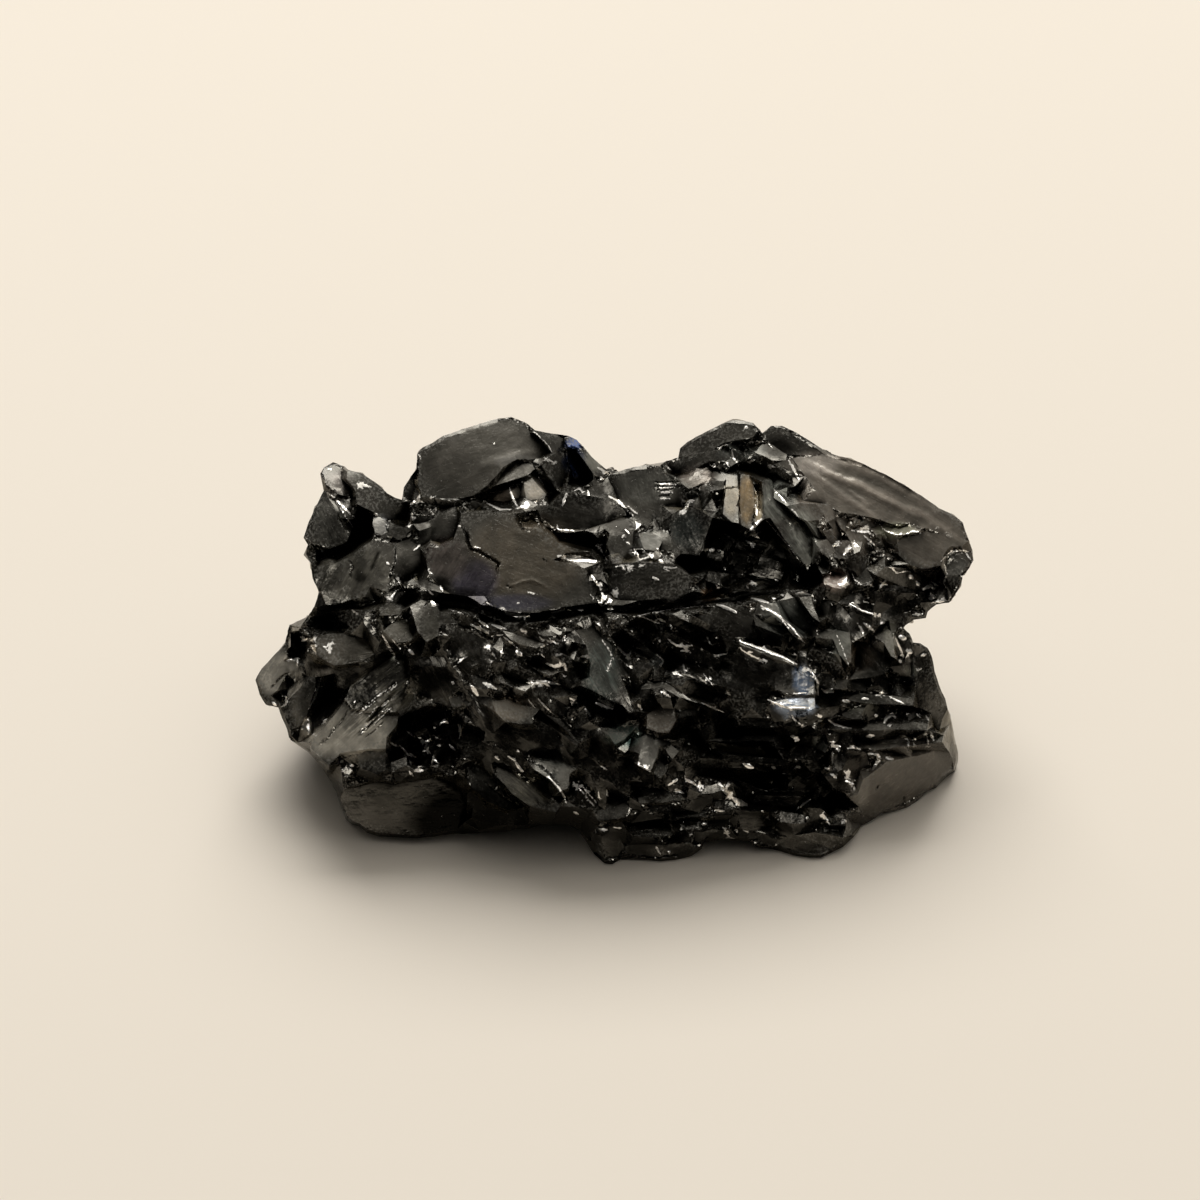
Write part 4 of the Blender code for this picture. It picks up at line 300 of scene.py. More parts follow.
        (0.22, 30.4, 32.7, 30.7, 32.3, 31.1, 31.9), (0.28, 36.8, 30.3, 37.1, 29.4, 37, 28.8),
        (0.8, 32.3, 23.3, 32.8, 23.1), (0.25, 30.2, 18.3, 31.1, 17.8, 31.9, 17.5),
        (0.22, 32, 16.2, 32.9, 16.4), (0.22, 33.4, 16.3, 33.8, 15.9), (0.6, 18.6, 17.1, 21.4, 17),
        (0.39, 24, 13.2, 24.3, 13.2), (0.22, 18.5, 9.7, 18.9, 9.7), (0.33, 23.1, 10.4, 24.1, 10.1),
        (0.6, 14.2, 10.8, 15.2, 10.4), (0.25, 11.9, 3.8, 12.8, 2.5), (0.25, 4.3, 2, 5.1, 0.6),
        (0.45, 5.9, 1.1, 6.1, 0.9), (0.35, 8, 13.1, 8.2, 13), (0.22, -20, 11.3, -19.5, 10.8),
        (0.3, -10.8, 12.4, -10.6, 12.2), (0.25, -9.4, 12.7, -9, 12.5), (0.35, -4.6, 5.5, -4.1, 5.3),
        (0.25, -22.7, 12, -22.1, 11.5), (0.25, -21, 13, -20.5, 13.5), (0.2, -23.8, 12.8, -22.8, 11.7),
        (0.3, -29.3, 10.6, -28.7, 10.6), (0.3, -30.4, 43.3, -30.2, 43.2), (0.35, -28.2, 41.7, -27, 41.4),
        (0.3, -22.3, 39, -22.6, 37.6, -22.9, 37), (0.2, -20.5, 40.1, -19.8, 40.4),
        (0.25, -21.7, 44.9, -21.5, 44.5), (0.22, -8.5, 42.5, -7.9, 41.6),
        (0.3, -11.7, 41.4, -11.4, 40.4, -10.8, 39.2), (0.22, -7, 36.5, -6.4, 36.8, -6.4, 37.3),
        (0.22, 1.1, 36.7, 1.7, 36.1), (0.24, 5, 40.8, 6.4, 40.8), (0.5, 14.4, 48.1, 14.6, 47.9),
        (0.4, 14.8, 36.5, 15.5, 37.2, 16.2, 37.9), (0.35, 19.2, 44.4, 19.7, 43.5, 20.3, 42.3),
    ),
    0.7: (
        (0.25, -24.8, 13, -24.1, 12.7), (0.22, -23.6, 12.5, -22.4, 11.5), (0.22, -20.3, 11.4, -19.5, 10.8),
        (0.3, -19.8, 13.7, -19.5, 13.6), (0.24, -18.3, 12.9, -17.6, 12.2),
        (0.18, -27.9, 16.9, -26.2, 18.3, -24, 19.8), (0.22, -31.8, 24.1, -31.1, 23.9, -31.1, 23.6),
        (0.22, -25.1, 18.7, -24, 19.6), (0.25, -29, 27.8, -28.5, 27.4), (0.25, -20.6, 30, -20, 29.4),
        (0.25, -14.2, 28.7, -13.9, 28.4), (0.3, -10.9, 27.3, -10.3, 27.6),
        (0.3, -2.7, 31.8, -2, 30.8, -1.6, 30.2), (0.22, -2, 29.1, -1.6, 28.2),
        (0.22, -1.4, 28.2, -0.2, 29.1), (0.26, -13.6, 24.9, -12.3, 25.1), (0.26, -12.3, 24.9, -10.8, 23.7),
        (0.26, -10.4, 25.7, -10, 25.4), (0.3, -8.3, 23.7, -7.4, 24), (0.3, -8.3, 24.8, -7.5, 24.1),
        (0.26, -6.9, 22.6, -5.9, 23), (0.26, -5.9, 20.8, -5.3, 20.1),
        (0.25, -8.6, 18.2, -7.7, 17.2, -6.9, 16.4), (0.5, 11.4, 34.3, 11.6, 34.4),
        (0.25, 2.6, 27.2, 3.4, 26.9, 4.3, 26.5, 5.3, 26.2), (0.22, 7, 23.3, 8.4, 23.3),
        (0.22, 4.8, 21.2, 5.3, 22.2, 4.6, 22.9), (0.4, 29.2, 30.2, 29.8, 31),
        (0.28, 26.8, 26.3, 27.6, 24.7), (0.4, 33.8, 22.7, 34.4, 22.9),
        (0.2, 32.4, 20.3, 33, 20.8, 33.9, 21.3), (0.25, 25.5, 20.4, 25.7, 20.4),
        (0.5, 25.1, 17.8, 25.9, 17.7), (0.25, 28.7, 18.3, 29.6, 18.6, 30, 18.6),
        (0.25, 34.4, 16.1, 34.7, 15.6), (0.3, 21.7, 21, 22.3, 19.9, 22.4, 18.4),
        (0.25, 34.5, 13.8, 34.8, 12.6), (0.52, 28, 11.9, 29, 11.8, 29.2, 11.3, 28.5, 10.1),
        (0.25, 14.5, 3.7, 14.7, 3.2), (0.25, 19.9, 5.6, 20.8, 6.3, 21.7, 6.9), (0.25, 7.9, 3.1, 8.6, 3),
        (0.25, 17.6, 1.8, 17.9, 1.8), (0.22, -17.1, 15.2, -17, 14), (0.2, -4.6, 8.8, -3.5, 7.6, -2.3, 6.1),
        (0.2, -3.7, 8.5, -2.1, 6.6), (0.2, -1.9, 7.9, -1.7, 6.8), (0.22, -1.4, 2.7, -0.9, 2.6),
        (0.22, -24.9, 13.1, -24.5, 13), (0.25, -21.2, 12.2, -20.8, 12.1, -20.9, 12.6),
        (0.22, -4.1, 40.7, -3.9, 40.2), (0.24, 4.8, 40.1, 6, 40.1), (0.25, 11.4, 45.6, 12, 46, 12.9, 46.2),
    ),
    0.6: (
        (0.16, -27.2, 16, -25.9, 17.5), (0.16, -26.8, 14.9, -25.4, 16.4, -24.6, 17.1),
        (0.45, -23, 19.7, -22.8, 19.9), (0.22, -24.4, 24.4, -23.4, 23.2), (0.25, -20.7, 32.2, -20, 31.7),
        (0.35, 0.1, 32.6, 0.9, 32.7, 1.1, 32.1), (0.2, -10.9, 28.5, -10.5, 28.6),
        (0.24, -14.4, 22.3, -13.3, 22.2), (0.26, -8.2, 23, -7.8, 22.6), (0.26, -5.9, 24.7, -5.4, 25),
        (0.2, -9.6, 18, -8.7, 16.9), (0.22, -2, 26.5, -1.4, 25.8), (0.2, 4.5, 34.8, 5.3, 33.6),
        (0.2, 11.1, 30.6, 11.5, 30.2), (0.2, 14.7, 27.5, 15, 28, 14.8, 28.7), (0.25, 6.1, 26.2, 6.2, 25.6),
        (0.2, 9.1, 21.8, 9.3, 21.5), (0.18, 9.7, 20.8, 10.8, 19.4),
        (0.35, 27.5, 36, 28.1, 35.5, 28.7, 34.9), (0.22, 26.4, 35.5, 26.7, 34.6),
        (0.25, 29.2, 37.3, 29.8, 36.6, 31, 36.1, 32, 36.1, 32.9, 36.5, 33.9, 36.4),
        (0.2, 31.4, 31.9, 32.3, 32.1), (0.45, 22.8, 19.1, 23.3, 18.7, 24, 19.1),
        (0.22, 18.7, 16.3, 19.8, 15.7, 20.8, 14.9), (0.4, 32.4, 13.6, 32.5, 12.6),
        (0.25, 33, 13.4, 33.1, 12.6), (0.45, 25.5, 8.9, 26.3, 8.5, 26.5, 7.8), (0.3, 16.1, 5.7, 16.4, 5.5),
        (0.3, -20.3, 38.7, -19.5, 39.1), (0.2, -22.3, 34.3, -21.4, 35.1),
        (0.25, -7.9, 44.7, -7.3, 44.4, -6.6, 44), (0.3, -14.2, 39.6, -12.7, 38.9, -11.4, 38.9),
        (0.35, -0.9, 40.5, 0.4, 39.8, 1.4, 38.7, 2, 38.2), (0.18, -6.4, 36.7, -4.7, 36.6, -4.4, 36.4),
        (0.3, 17.2, 43.7, 17.7, 43.6), (0.4, 14.4, 35.5, 15.3, 35), (0.28, 19.4, 39.1, 20.5, 37.8),
    ),
    0.5: (
        (0.16, -28.2, 14, -27.2, 14.9), (0.35, -33.9, 16.8, -33.2, 18.1, -32.5, 20.3),
        (0.24, -28.8, 15.8, -27.6, 16.9, -26.3, 17.8), (0.24, -28.3, 14.3, -27, 15.4, -25.5, 16.7),
        (0.22, -24.9, 32.5, -23.2, 29.8), (0.22, -23.6, 24.6, -22.8, 23.5), (0.2, -2.8, 29.6, -2.2, 28.8),
        (0.22, -1.5, 24.6, -0.6, 23.3, -0.3, 22.6), (0.25, -0.9, 21, -0.3, 22.7),
        (0.3, 9.4, 23.6, 9.6, 23.4), (0.3, 36.1, 33.2, 36.4, 33.6, 37.2, 34.3, 38.4, 34.4, 39.2, 34.2),
        (0.3, 36.4, 32.9, 36.7, 31.8, 36.4, 30.8, 36.7, 30.2), (0.22, 26.1, 28.6, 27.8, 28.7, 28.7, 28.3),
        (0.22, 26.1, 32, 26.4, 31.2, 27.3, 30.5, 28.6, 30.6), (0.45, 27.5, 26.3, 28.7, 25.4),
        (0.2, 24.4, 25.1, 25, 23.8, 25.8, 21.5), (0.3, 18.3, 26.8, 19.7, 25, 20.9, 24.2),
        (0.35, -1.6, 10.6, -0.9, 10.2), (0.3, -30.3, 10.5, -30, 9.9, -29.5, 9.4),
        (0.35, -32.1, 40.9, -31.2, 40.3, -30.2, 39.3, -28.8, 38), (0.24, -30.9, 39.7, -29.9, 38.2, -29, 37),
        (0.24, -9.6, 48.2, -8.8, 47.4, -7.9, 46.5, -7.3, 45.9, -7, 45.3), (0.25, 1.3, 39.3, 2.6, 38.3),
        (0.2, -2.1, 35.2, -1.5, 34.3, -0.9, 33.3), (0.2, 0.1, 37, 1.4, 35.3, 2.5, 34),
        (0.28, 5.7, 43.7, 6.2, 43.3), (0.22, 14.3, 46.3, 15.6, 46.5, 16.8, 46.4, 17.4, 45.8),
        (0.32, 12.9, 45.6, 13.1, 44.6, 13.7, 43.8), (0.4, 12.2, 44.4, 12.6, 43.6),
        (0.25, 17.5, 41.2, 18.9, 39.6), (0.25, 16.7, 37.7, 18.1, 36.1, 19.4, 34.5, 20.5, 33),
    ),
    0.4: (
        (0.45, -25.8, 25.4, -25, 23.9, -23.9, 21.9), (0.28, -18.1, 27.8, -17, 27.5, -16.2, 27.1),
        (0.18, 1.4, 26.5, 2.6, 27.2, 4, 27.5, 6.5, 27.9, 9.1, 28.2, 11, 28.2),
        (0.22, -29.3, 33.2, -29, 32.5),
    ),
}

# Places painted dark as shade, their gloss taken away: across and rise of the middle, reach across and up,
# and how strongly.
SHADED_AND_DULL = (
    (-15.5, 4, 10, 6.5, 0.95), (-20.5, 13.6, 5.5, 4, 0.75), (15.5, 33.2, 7.5, 4.6, 0.7),
    (16, 12.6, 9.5, 4.2, 0.7), (18.5, 7.6, 8, 3.6, 0.75), (28, 13, 4, 2, 0.4), (6.5, 24, 6.5, 4, 0.6),
    (-26, 22.5, 5.5, 3, 0.45), (-30, 36.5, 2.6, 3.6, 0.6), (-16, 6, 5, 3, 0.75), (-8, 14, 5, 2.6, 0.5),
    (-13, 12.5, 4.5, 3, 0.55), (30, 28.8, 6, 2.2, 0.65), (12, 21, 6, 3.2, 0.45), (29, 20.2, 4, 1.2, 0.75),
    (17.8, 45.7, 2.4, 1.4, 0.8), (18.6, 40.6, 1.6, 1.5, 0.85), (-17.5, 29.2, 4.4, 1.3, 0.7),
    (-1.2, 31, 2.4, 3.2, 0.6), (-22.8, 36.6, 3, 2.3, 0.8), (17, 24.8, 4.6, 2.6, 0.75),
    (-28.2, 18.6, 2.4, 2.2, 0.8), (-33, 28.7, 3.4, 1.2, 0.7), (-19.3, 30.5, 1.8, 1.2, 0.8),
    (-15.5, 28.4, 2.8, 1, 0.8), (0.4, 36.6, 1.9, 1.7, 0.6), (8.3, 37.6, 2.4, 2.6, 0.6),
    (-20.4, 26.6, 1.8, 2.4, 0.7), (-20.5, 20.5, 3.4, 1.9, 0.7), (-27.8, 20.6, 3.2, 2, 0.65),
    (-24, 10.9, 1.6, 1.3, 0.6), (18.2, 20.4, 1.9, 1.9, 0.85), (0.2, 37.2, 2.6, 1.4, 0.8),
    (0.3, 35.2, 1.9, 1.9, 0.7), (0.4, 28.7, 3, 1, 0.9), (25.6, 10.8, 2.8, 2.3, 0.8),
    (27, 17.5, 4.6, 3.4, 0.6), (22, 9.6, 5, 2.6, 0.8), (-1.6, 41.4, 2.6, 1.4, 0.6),
    (-2.6, 35, 3.5, 1.2, 0.6), (-7, 5, 4, 2, 0.6), (0.5, 10, 3, 4, 0.5), (-33, 17.5, 2.6, 3.4, 0.6),
    (12.5, 39.2, 1.7, 2.9, 0.6), (17, 24.5, 2.2, 1.2, 0.9), (24, 17.8, 1.8, 1.2, 0.85),
    (-31.6, 31, 0.8, 2.2, 0.4), (-28.1, 31.4, 0.9, 0.8, 0.8), (-28.2, 33.2, 1, 1.9, 0.4),
    (-30.6, 32.8, 0.7, 1.3, 0.35), (-26.2, 30.2, 1.3, 0.8, 0.6), (-23.2, 32.6, 0.8, 2.4, 0.35),
)

# Overhanging places that take no painted shade: across and rise of the middle, and reach across and up.
NO_OVERHANG_SHADE = (
    (31.8, 8.8, 9, 6.5), (21, 36.2, 2.6, 4.4), (-29.3, 14.2, 7, 4.4), (-30, 6, 4, 4),
)

OVERHANG, OVERHANG_SPAN = 0.45, 0.25  # a break that faces up less than this takes painted shade and loses its gloss, over this span
# How dark the painted shade under an overhang is, and how much of its gloss it loses.
OVERHANG_SHADE = 0.75
BACK_DULL = 0.6  # least dullness of a dull break on the back
BACK_OVERHANG = 1.25  # how much more painted shade an overhang takes there
BACK_CONTRAST, BACK_CLEAN = 2.0, 0.1  # of the lots that say which breaks there are dull
BACK_PATCH_SIZE, BACK_PATCHES = 5.0, 0.55
CREASE_WIDTH = 1.2  # how much wider than its crack the band of painted shade along a crease is
FRONT_SLOPE, FRONT_START = 6, 0.6  # how the front's looks fade out towards the back
BEHIND = -0.05  # facing the camera less than this, a face takes the back's fibres

COMMON_TONE = (0.0070, 0.0060, 0.0040)
HIDDEN_TONE = (0.010, 0.0088, 0.0066)
RIDGE_LIGHT, RIDGE_HIGHLIGHT_GREY = 0.9, 0.02  # painted highlight along a ridge: a share of the stone's colour, and a grey
CREST_FROM = 0.15
STREAKY, STREAKY_BACK = 0.12, 0.28  # how fibrous the colour is away from the ribs, and how much more behind
LOW_RIB, RIB_SPAN = 0.03, 0.05  # millimetres: ribs above the first show as streaks, fully so after the span
GLINT_HEIGHT, GLINT_FOOT = 0.16, 1.3  # of a bright edge's ridge: height and breadth, as shares of its width
GLINT_REACH, GLINT_THINNING = 0.55, 0.6
GLINT_CORE, GLINT_FALL = 1.9, 3.2  # how its brightness falls away from its line
GLINT_TONE = (0.93, 0.90, 0.85, 1)
GLINT_ROUGHNESS = 0.34
EDGE_TONE = (0.16, 0.155, 0.14, 1)  # where a broken edge catches the light
IOR = 1.66
SPECULAR_TINT = (1.0, 0.95, 0.84, 1)

# Noise patterns: their scale along the grain and across it, per millimetre, and the height of their bumps.
FIBRES, HACKLES, CELLS = (0.20, 2.4, 2.4), (0.35, 5.5, 5.5), (0.9, 2.4, 2.4)
MOTTLE, SPECKLE_SCALE = 0.42, 3.4
CELL_BUMP, FIBRE_BUMP, SWELL_BUMP = 0.34 * MM, 0.05 * MM, 0.14 * MM

# What a noise gives: from and to in the noise, and from and to in the look.
STREAKS_OF_NOISE = (0.40, 0.62, 0.0, 1.0)
DEPTH_OF_MOTTLE = (0.35, 0.65, 0.75, 1.25)
SPECKS_OF_EDGE_LIGHT = (0.47, 0.62, 0.0, 0.7)
SPARKLE_OF_GLINT = (0.30, 0.48, 0.0, 1.0)
SATIN_OF_SHEEN = (0.38, 0.64, 0.12, 0.32)  # roughness of the calm breaks
MIRROR_OF_SPECKLE = (0.3, 0.7, 0.03, 0.12)  # and of the crumbled ones

FLOOR_TONE = (0.84, 0.775, 0.69, 1)
FLOOR_HALF = 6.0
FLOOR_DROP = 0.02 * MM
WALL_TONE = (0.86, 0.80, 0.72, 1)
SKY_STRENGTH = 1.85
SKY_TINT = (1.0, 0.965, 0.89)
SKY_SIDE, SKY_ELEVATION = 0.1, math.radians(56)  # where the sky is brightest
SKY_STOPS = ((0.0, 0.012), (0.30, 0.02), (0.5, 0.12), (0.66, 0.34), (0.8, 0.58), (0.9, 1.0), (1.0, 1.9))
LIGHT_AIM = Vector((0, 0, 0.015))
LIGHT_DISTANCE = 1.2
WINDOW_SIDE, WINDOW_ELEVATION = -0.05, math.radians(47)
WINDOW_SIZE, WINDOW_POWER, WINDOW_TINT = (1.00, 0.66), 13.0, (1.0, 0.98, 0.94)
SPARKS = (("spark_right", 58, 40, 2.6), ("spark_left", -48, 46, 2.2))  # azimuth, elevation and power
SPARK_SIZE, SPARK_TINT = (0.26, 0.26), (1.0, 0.97, 0.92)


def lines(table, lead=2):
    """The first values of each row of a table, and the line whose points are in the rest of it."""
    for row in table:
        yield (*row[:lead], tuple(zip(row[lead::2], row[lead + 1::2])))


def glints():
    """Each painted glint: its width, its brightness and its line."""
    for amount, rows in GLINTS.items():
        for width, line in lines(rows, 1):
            yield width, amount, line


def ovals(table):
    """The middle, the reach and the further values of each row of a table."""
    for row in table:
        yield row[:2], row[2:4], row[4:]


def slanted(points):
    """Points in metres as across, rise and height in millimetres."""
    x, y, z = (np.asarray(points) / MM).T
    return np.stack([x - ACROSS_SHIFT, (y + RISE_ZERO_Y + z) / math.sqrt(2), z], axis=1)


def from_slanted(across, rise, height):
    """The point in metres at this across, rise and height in millimetres."""
    return Vector((across + ACROSS_SHIFT, rise * math.sqrt(2) - height - RISE_ZERO_Y, height)) * MM


# ---------------------------------------------------------------- mesh tools


def welded(obj):
    """The object's triangles with coincident vertices merged: points in metres and faces."""
    mesh = obj.data
    mesh.calc_loop_triangles()
    points = np.empty(len(mesh.vertices) * 3)
    mesh.vertices.foreach_get("co", points)
    faces = np.empty(len(mesh.loop_triangles) * 3, int)
    mesh.loop_triangles.foreach_get("vertices", faces)
    points, faces = points.reshape(-1, 3), faces.reshape(-1, 3)
    whole = np.round(points / WELD).astype(np.int64)
    _, first, inverse = np.unique(whole, axis=0, return_index=True, return_inverse=True)
    faces = inverse.reshape(-1)[faces]
    whole = (faces[:, 0] != faces[:, 1]) & (faces[:, 1] != faces[:, 2]) & (faces[:, 2] != faces[:, 0])
    return points[first], faces[whole]


def face_normals(points, faces):
    """The direction and the area of each face."""
    a, b, c = (points[faces[:, k]] for k in range(3))
    cross = np.cross(b - a, c - a)
    length = np.linalg.norm(cross, axis=1)
    return cross / np.maximum(length, 1e-20)[:, None], length / 2


def vertex_normals(points, faces):
    """The direction that each point faces."""
    a, b, c = (points[faces[:, k]] for k in range(3))
    cross = np.cross(b - a, c - a)
    total = np.zeros_like(points)
    for k in range(3):
        for column in range(3):
            total[:, column] += np.bincount(faces[:, k], weights=cross[:, column], minlength=len(points))
    return total / np.maximum(np.linalg.norm(total, axis=1), 1e-20)[:, None]


def facing_camera(normals):
    """How far each direction turns towards the camera, -1 to 1."""
    return normals @ np.array((0, -1, 1)) / math.sqrt(2)


def edge_table(faces):
    """Each edge once, and for each face the numbers of its three edges (a-b, b-c, c-a)."""
    pairs = np.concatenate([faces[:, (0, 1)], faces[:, (1, 2)], faces[:, (2, 0)]])
    edges, inverse = np.unique(np.sort(pairs, axis=1), axis=0, return_inverse=True)
    return edges, inverse.reshape(3, -1).T


def neighbours(faces):
    """The edges that two faces share, and those two faces."""
    edges, sides = edge_table(faces)
    flat = sides.reshape(-1)
    order = np.argsort(flat, kind="stable")
    face_of = order // 3
    starts = np.searchsorted(flat[order], np.arange(len(edges)))
    paired = np.bincount(flat, minlength=len(edges)) == 2
    return edges[paired], face_of[starts[paired]], face_of[starts[paired] + 1]


def gathered(take, start, count, index, values):
    """For each of count places, the least or the greatest of start and the values of the faces there."""
    found = np.full(count, start)
    take.at(found, index.reshape(-1), np.repeat(values, 3))
    return found


def neighbour_mean(points, edges):
    """The mean of each point's neighbours."""
    (one, two), count = edges.T, len(points)
    total = np.stack([np.bincount(one, weights=points[two, k], minlength=count)
                      + np.bincount(two, weights=points[one, k], minlength=count) for k in range(3)], axis=1)
    return total / np.maximum(np.bincount(edges.reshape(-1), minlength=count), 1)[:, None]


def regions(faces, normals, limit):
    """A label for each face, so that faces that meet at less than this angle share one."""
    _, one, two = neighbours(faces)
    flat_enough = (normals[one] * normals[two]).sum(axis=1) > math.cos(limit)
    label = np.arange(len(faces))
    one, two = one[flat_enough], two[flat_enough]
    while True:
        low = np.minimum(label[one], label[two])
        new = label.copy()
        np.minimum.at(new, one, low)
        np.minimum.at(new, two, low)
        new = new[new]
        if (new == label).all():
            return label
        label = new


def broken_edges(points, faces, calm):
    """How strongly each point stands on a sharp outward edge of a calm break, 0 to 1."""
    normals, _ = face_normals(points, faces)
    middles = points[faces].mean(axis=1)
    edges, one, two = neighbours(faces)
    angle = np.arccos(np.clip((normals[one] * normals[two]).sum(axis=1), -1, 1))
    outward = ((middles[two] - middles[one]) * normals[one]).sum(axis=1) < 0
    share = np.clip((np.degrees(angle) - EDGE_FROM) / EDGE_SPAN, 0, 1) * outward * (calm[one] | calm[two])
    found = np.zeros(len(points))
    for k in range(2):
        np.maximum.at(found, edges[:, k], share)
    return found


def split_long_edges(points, faces, data, longest, rng):
    """Splits each edge longer than its allowance once. data has a row per face, which its parts inherit."""
    edges, sides = edge_table(faces)
    count = len(edges)
    length = np.linalg.norm(points[edges[:, 1]] - points[edges[:, 0]], axis=1)
    split = length > gathered(np.maximum, 0.0, count, sides, longest(points, faces, data))
    if not split.any():
        return points, faces, data, False
    calmest = gathered(np.minimum, FAR, count, sides, data[:, 0])
    lowest = gathered(np.minimum, FAR, count, sides, data[:, 1])
    highest = gathered(np.maximum, -FAR, count, sides, data[:, 1])
    normals, _ = face_normals(points, faces)
    push = np.zeros((count, 3))
    for column in range(3):
        np.add.at(push, sides[:, column], normals)
    push /= np.maximum(np.linalg.norm(push, axis=1), 1e-12)[:, None]
    noise = rng.normal(0, 1, (count, 3)).clip(-1.6, 1.6)
    inner = push * (noise[:, 0] * JITTER * length * calmest)[:, None]
    outer = noise * (BORDER_JITTER * length)[:, None]
    middle = points[edges].mean(axis=1) + np.where((lowest != highest)[:, None], outer, inner)
    number = np.full(count, -1)
    number[split] = len(points) + np.arange(split.sum())
    points = np.concatenate([points, middle[split]])
    mid = number[sides]
    cut = mid >= 0
    made, inherited = [], []

    def add(keep, *triangles):
        for triangle in triangles:
            made.append(np.stack(triangle, axis=1))
            inherited.append(data[keep])

    cuts = cut.sum(axis=1)
    keep = cuts == 0
    add(keep, faces[keep].T)
    keep = cuts == 3
    a, b, c = faces[keep].T
    ab, bc, ca = mid[keep].T
    add(keep, (a, ab, ca), (ab, b, bc), (ca, bc, c), (ab, bc, ca))
    for turn in range(3):
        order = [(turn + k) % 3 for k in range(3)]
        keep = (cuts == 1) & cut[:, order[0]]
        a, b, c = faces[keep][:, order].T
        ab = mid[keep][:, order[0]]
        add(keep, (a, ab, c), (ab, b, c))
        keep = (cuts == 2) & ~cut[:, order[2]]
        a, b, c = faces[keep][:, order].T
        ab, bc = mid[keep][:, order[0]], mid[keep][:, order[1]]
        one, other = points[a] - points[bc], points[ab] - points[c]
        short = np.linalg.norm(one, axis=1) < np.linalg.norm(other, axis=1)
        add(keep, (ab, b, bc))
        for near, far in (((a, ab, bc), (a, ab, c)), ((a, bc, c), (ab, bc, c))):
            made.append(np.where(short[:, None], np.stack(near, 1), np.stack(far, 1)))
            inherited.append(data[keep])
    return points, np.concatenate(made), np.concatenate(inherited), True


def relax(points, faces, data):
    """Evens out the points that lie wholly inside one calm region."""
    label = np.where(data[:, 0] < 0.5, data[:, 1], -1)
    low = gathered(np.minimum, FAR, len(points), faces, label)
    high = gathered(np.maximum, -FAR, len(points), faces, label)
    free = (low == high) & (low >= 0)
    edges, _ = edge_table(faces)
    for _ in range(RELAX_TURNS):
        mean = neighbour_mean(points, edges)
        points = np.where(free[:, None], points + RELAX_SHARE * (mean - points), points)
    return points


def waves(points, size, rng, count=7):
    """A smooth random field between about -1 and 1, with features of this size: a sum of plane waves."""
    total = np.zeros(len(points))
    for _ in range(count):
        way = rng.normal(0, 1, 3)
        way *= rng.uniform(0.6, 1.5) / np.linalg.norm(way) * 2 * math.pi / size
        total += np.sin(points @ way + rng.uniform(0, 2 * math.pi))
    return total / math.sqrt(count / 2) / 1.6


# ---------------------------------------------------------------- places on the stone


def grain_of(spots):
    """The grain region that each across-and-rise spot lies in."""
    best, number = np.full(len(spots), np.inf), np.zeros(len(spots), int)
    for k, row in enumerate(GRAIN):
        gap = np.linalg.norm(spots - row[:2], axis=1)
        closer = gap < best
        best, number = np.where(closer, gap, best), np.where(closer, k, number)
    return number


def along_grain(relief, number):
    """Relief coordinates turned to run along the grain, across it and towards the viewer."""
    turn = np.radians(np.array([degrees for _, _, degrees in GRAIN], float))[number]
    across, rise, height = relief.T
    along = across * np.cos(turn) + rise * np.sin(turn)
    side = rise * np.cos(turn) - across * np.sin(turn)
    return np.stack([along, side, math.sqrt(2) * height - rise], axis=1)


def along_bed(relief):
    """The same for the back and the underside, where the fibres run level along the stone."""
    across, rise, height = relief.T
    along, level = across - BED_SLOPE * height, height + BED_SLOPE * across
    return np.stack([along, level, math.sqrt(2) * rise - height], axis=1)


def smooth_step(share):
    return share * share * (3 - 2 * share)


def reach_share(spots, middle, reach, turn=0.0):
    """1 at the middle of an oval, falling smoothly to 0 at its edge."""
    offset = spots - np.array(middle)
    along = offset[:, 0] * math.cos(turn) + offset[:, 1] * math.sin(turn)
    side = offset[:, 1] * math.cos(turn) - offset[:, 0] * math.sin(turn)
    gap = np.hypot(along / reach[0], side / reach[1])
    return smooth_step(np.clip((1.0 - gap) / FADE, 0.0, 1.0))


def line_distance(spots, line):
    """How far each spot lies from a line, and how far along it, from 0 to 1."""
    line = np.array(line)
    lengths = np.linalg.norm(np.diff(line, axis=0), axis=1)
    passed = np.concatenate([[0.0], np.cumsum(lengths)])
    best, place = np.full(len(spots), np.inf), np.zeros(len(spots))
    for start, end, length, before in zip(line, line[1:], lengths, passed):
        way = (end - start) / length
        along = np.clip((spots - start) @ way, 0, length)
        gap = np.linalg.norm(spots - start - along[:, None] * way, axis=1)
        closer = gap < best
        best, place = np.where(closer, gap, best), np.where(closer, before + along, place)
    return best, place / passed[-1]


def beside(spots, line, reach):
    """The numbers of the spots within reach of a line, how far each is from it, and how far along it."""
    low, high = np.min(line, axis=0) - reach, np.max(line, axis=0) + reach
    across, rise = spots.T
    boxed = np.flatnonzero((across > low[0]) & (across < high[0]) & (rise > low[1]) & (rise < high[1]))
    gap, place = line_distance(spots[boxed], line)
    close = gap < reach
    return boxed[close], gap[close], place[close]


def raise_ridge(values, spots, line, width, amount):
    """Adds a ridge, or with a negative amount a groove, that tapers over the last sixth at each end."""
    close, gap, place = beside(spots, line, width / 2)
    share = 1 - gap / (width / 2)
    values[close] += smooth_step(share) * np.clip(np.minimum(place, 1 - place) * 6, 0, 1) * amount


def rib_places():
    """Each set of ribs: its middle, reach, number and turn of its grain, spacing and height."""
    for middle, reach, (spacing, height) in ovals(RIBS):
        number = grain_of(np.array([middle]))[0]
        yield middle, reach, number, math.radians(GRAIN[number][2]), spacing, height


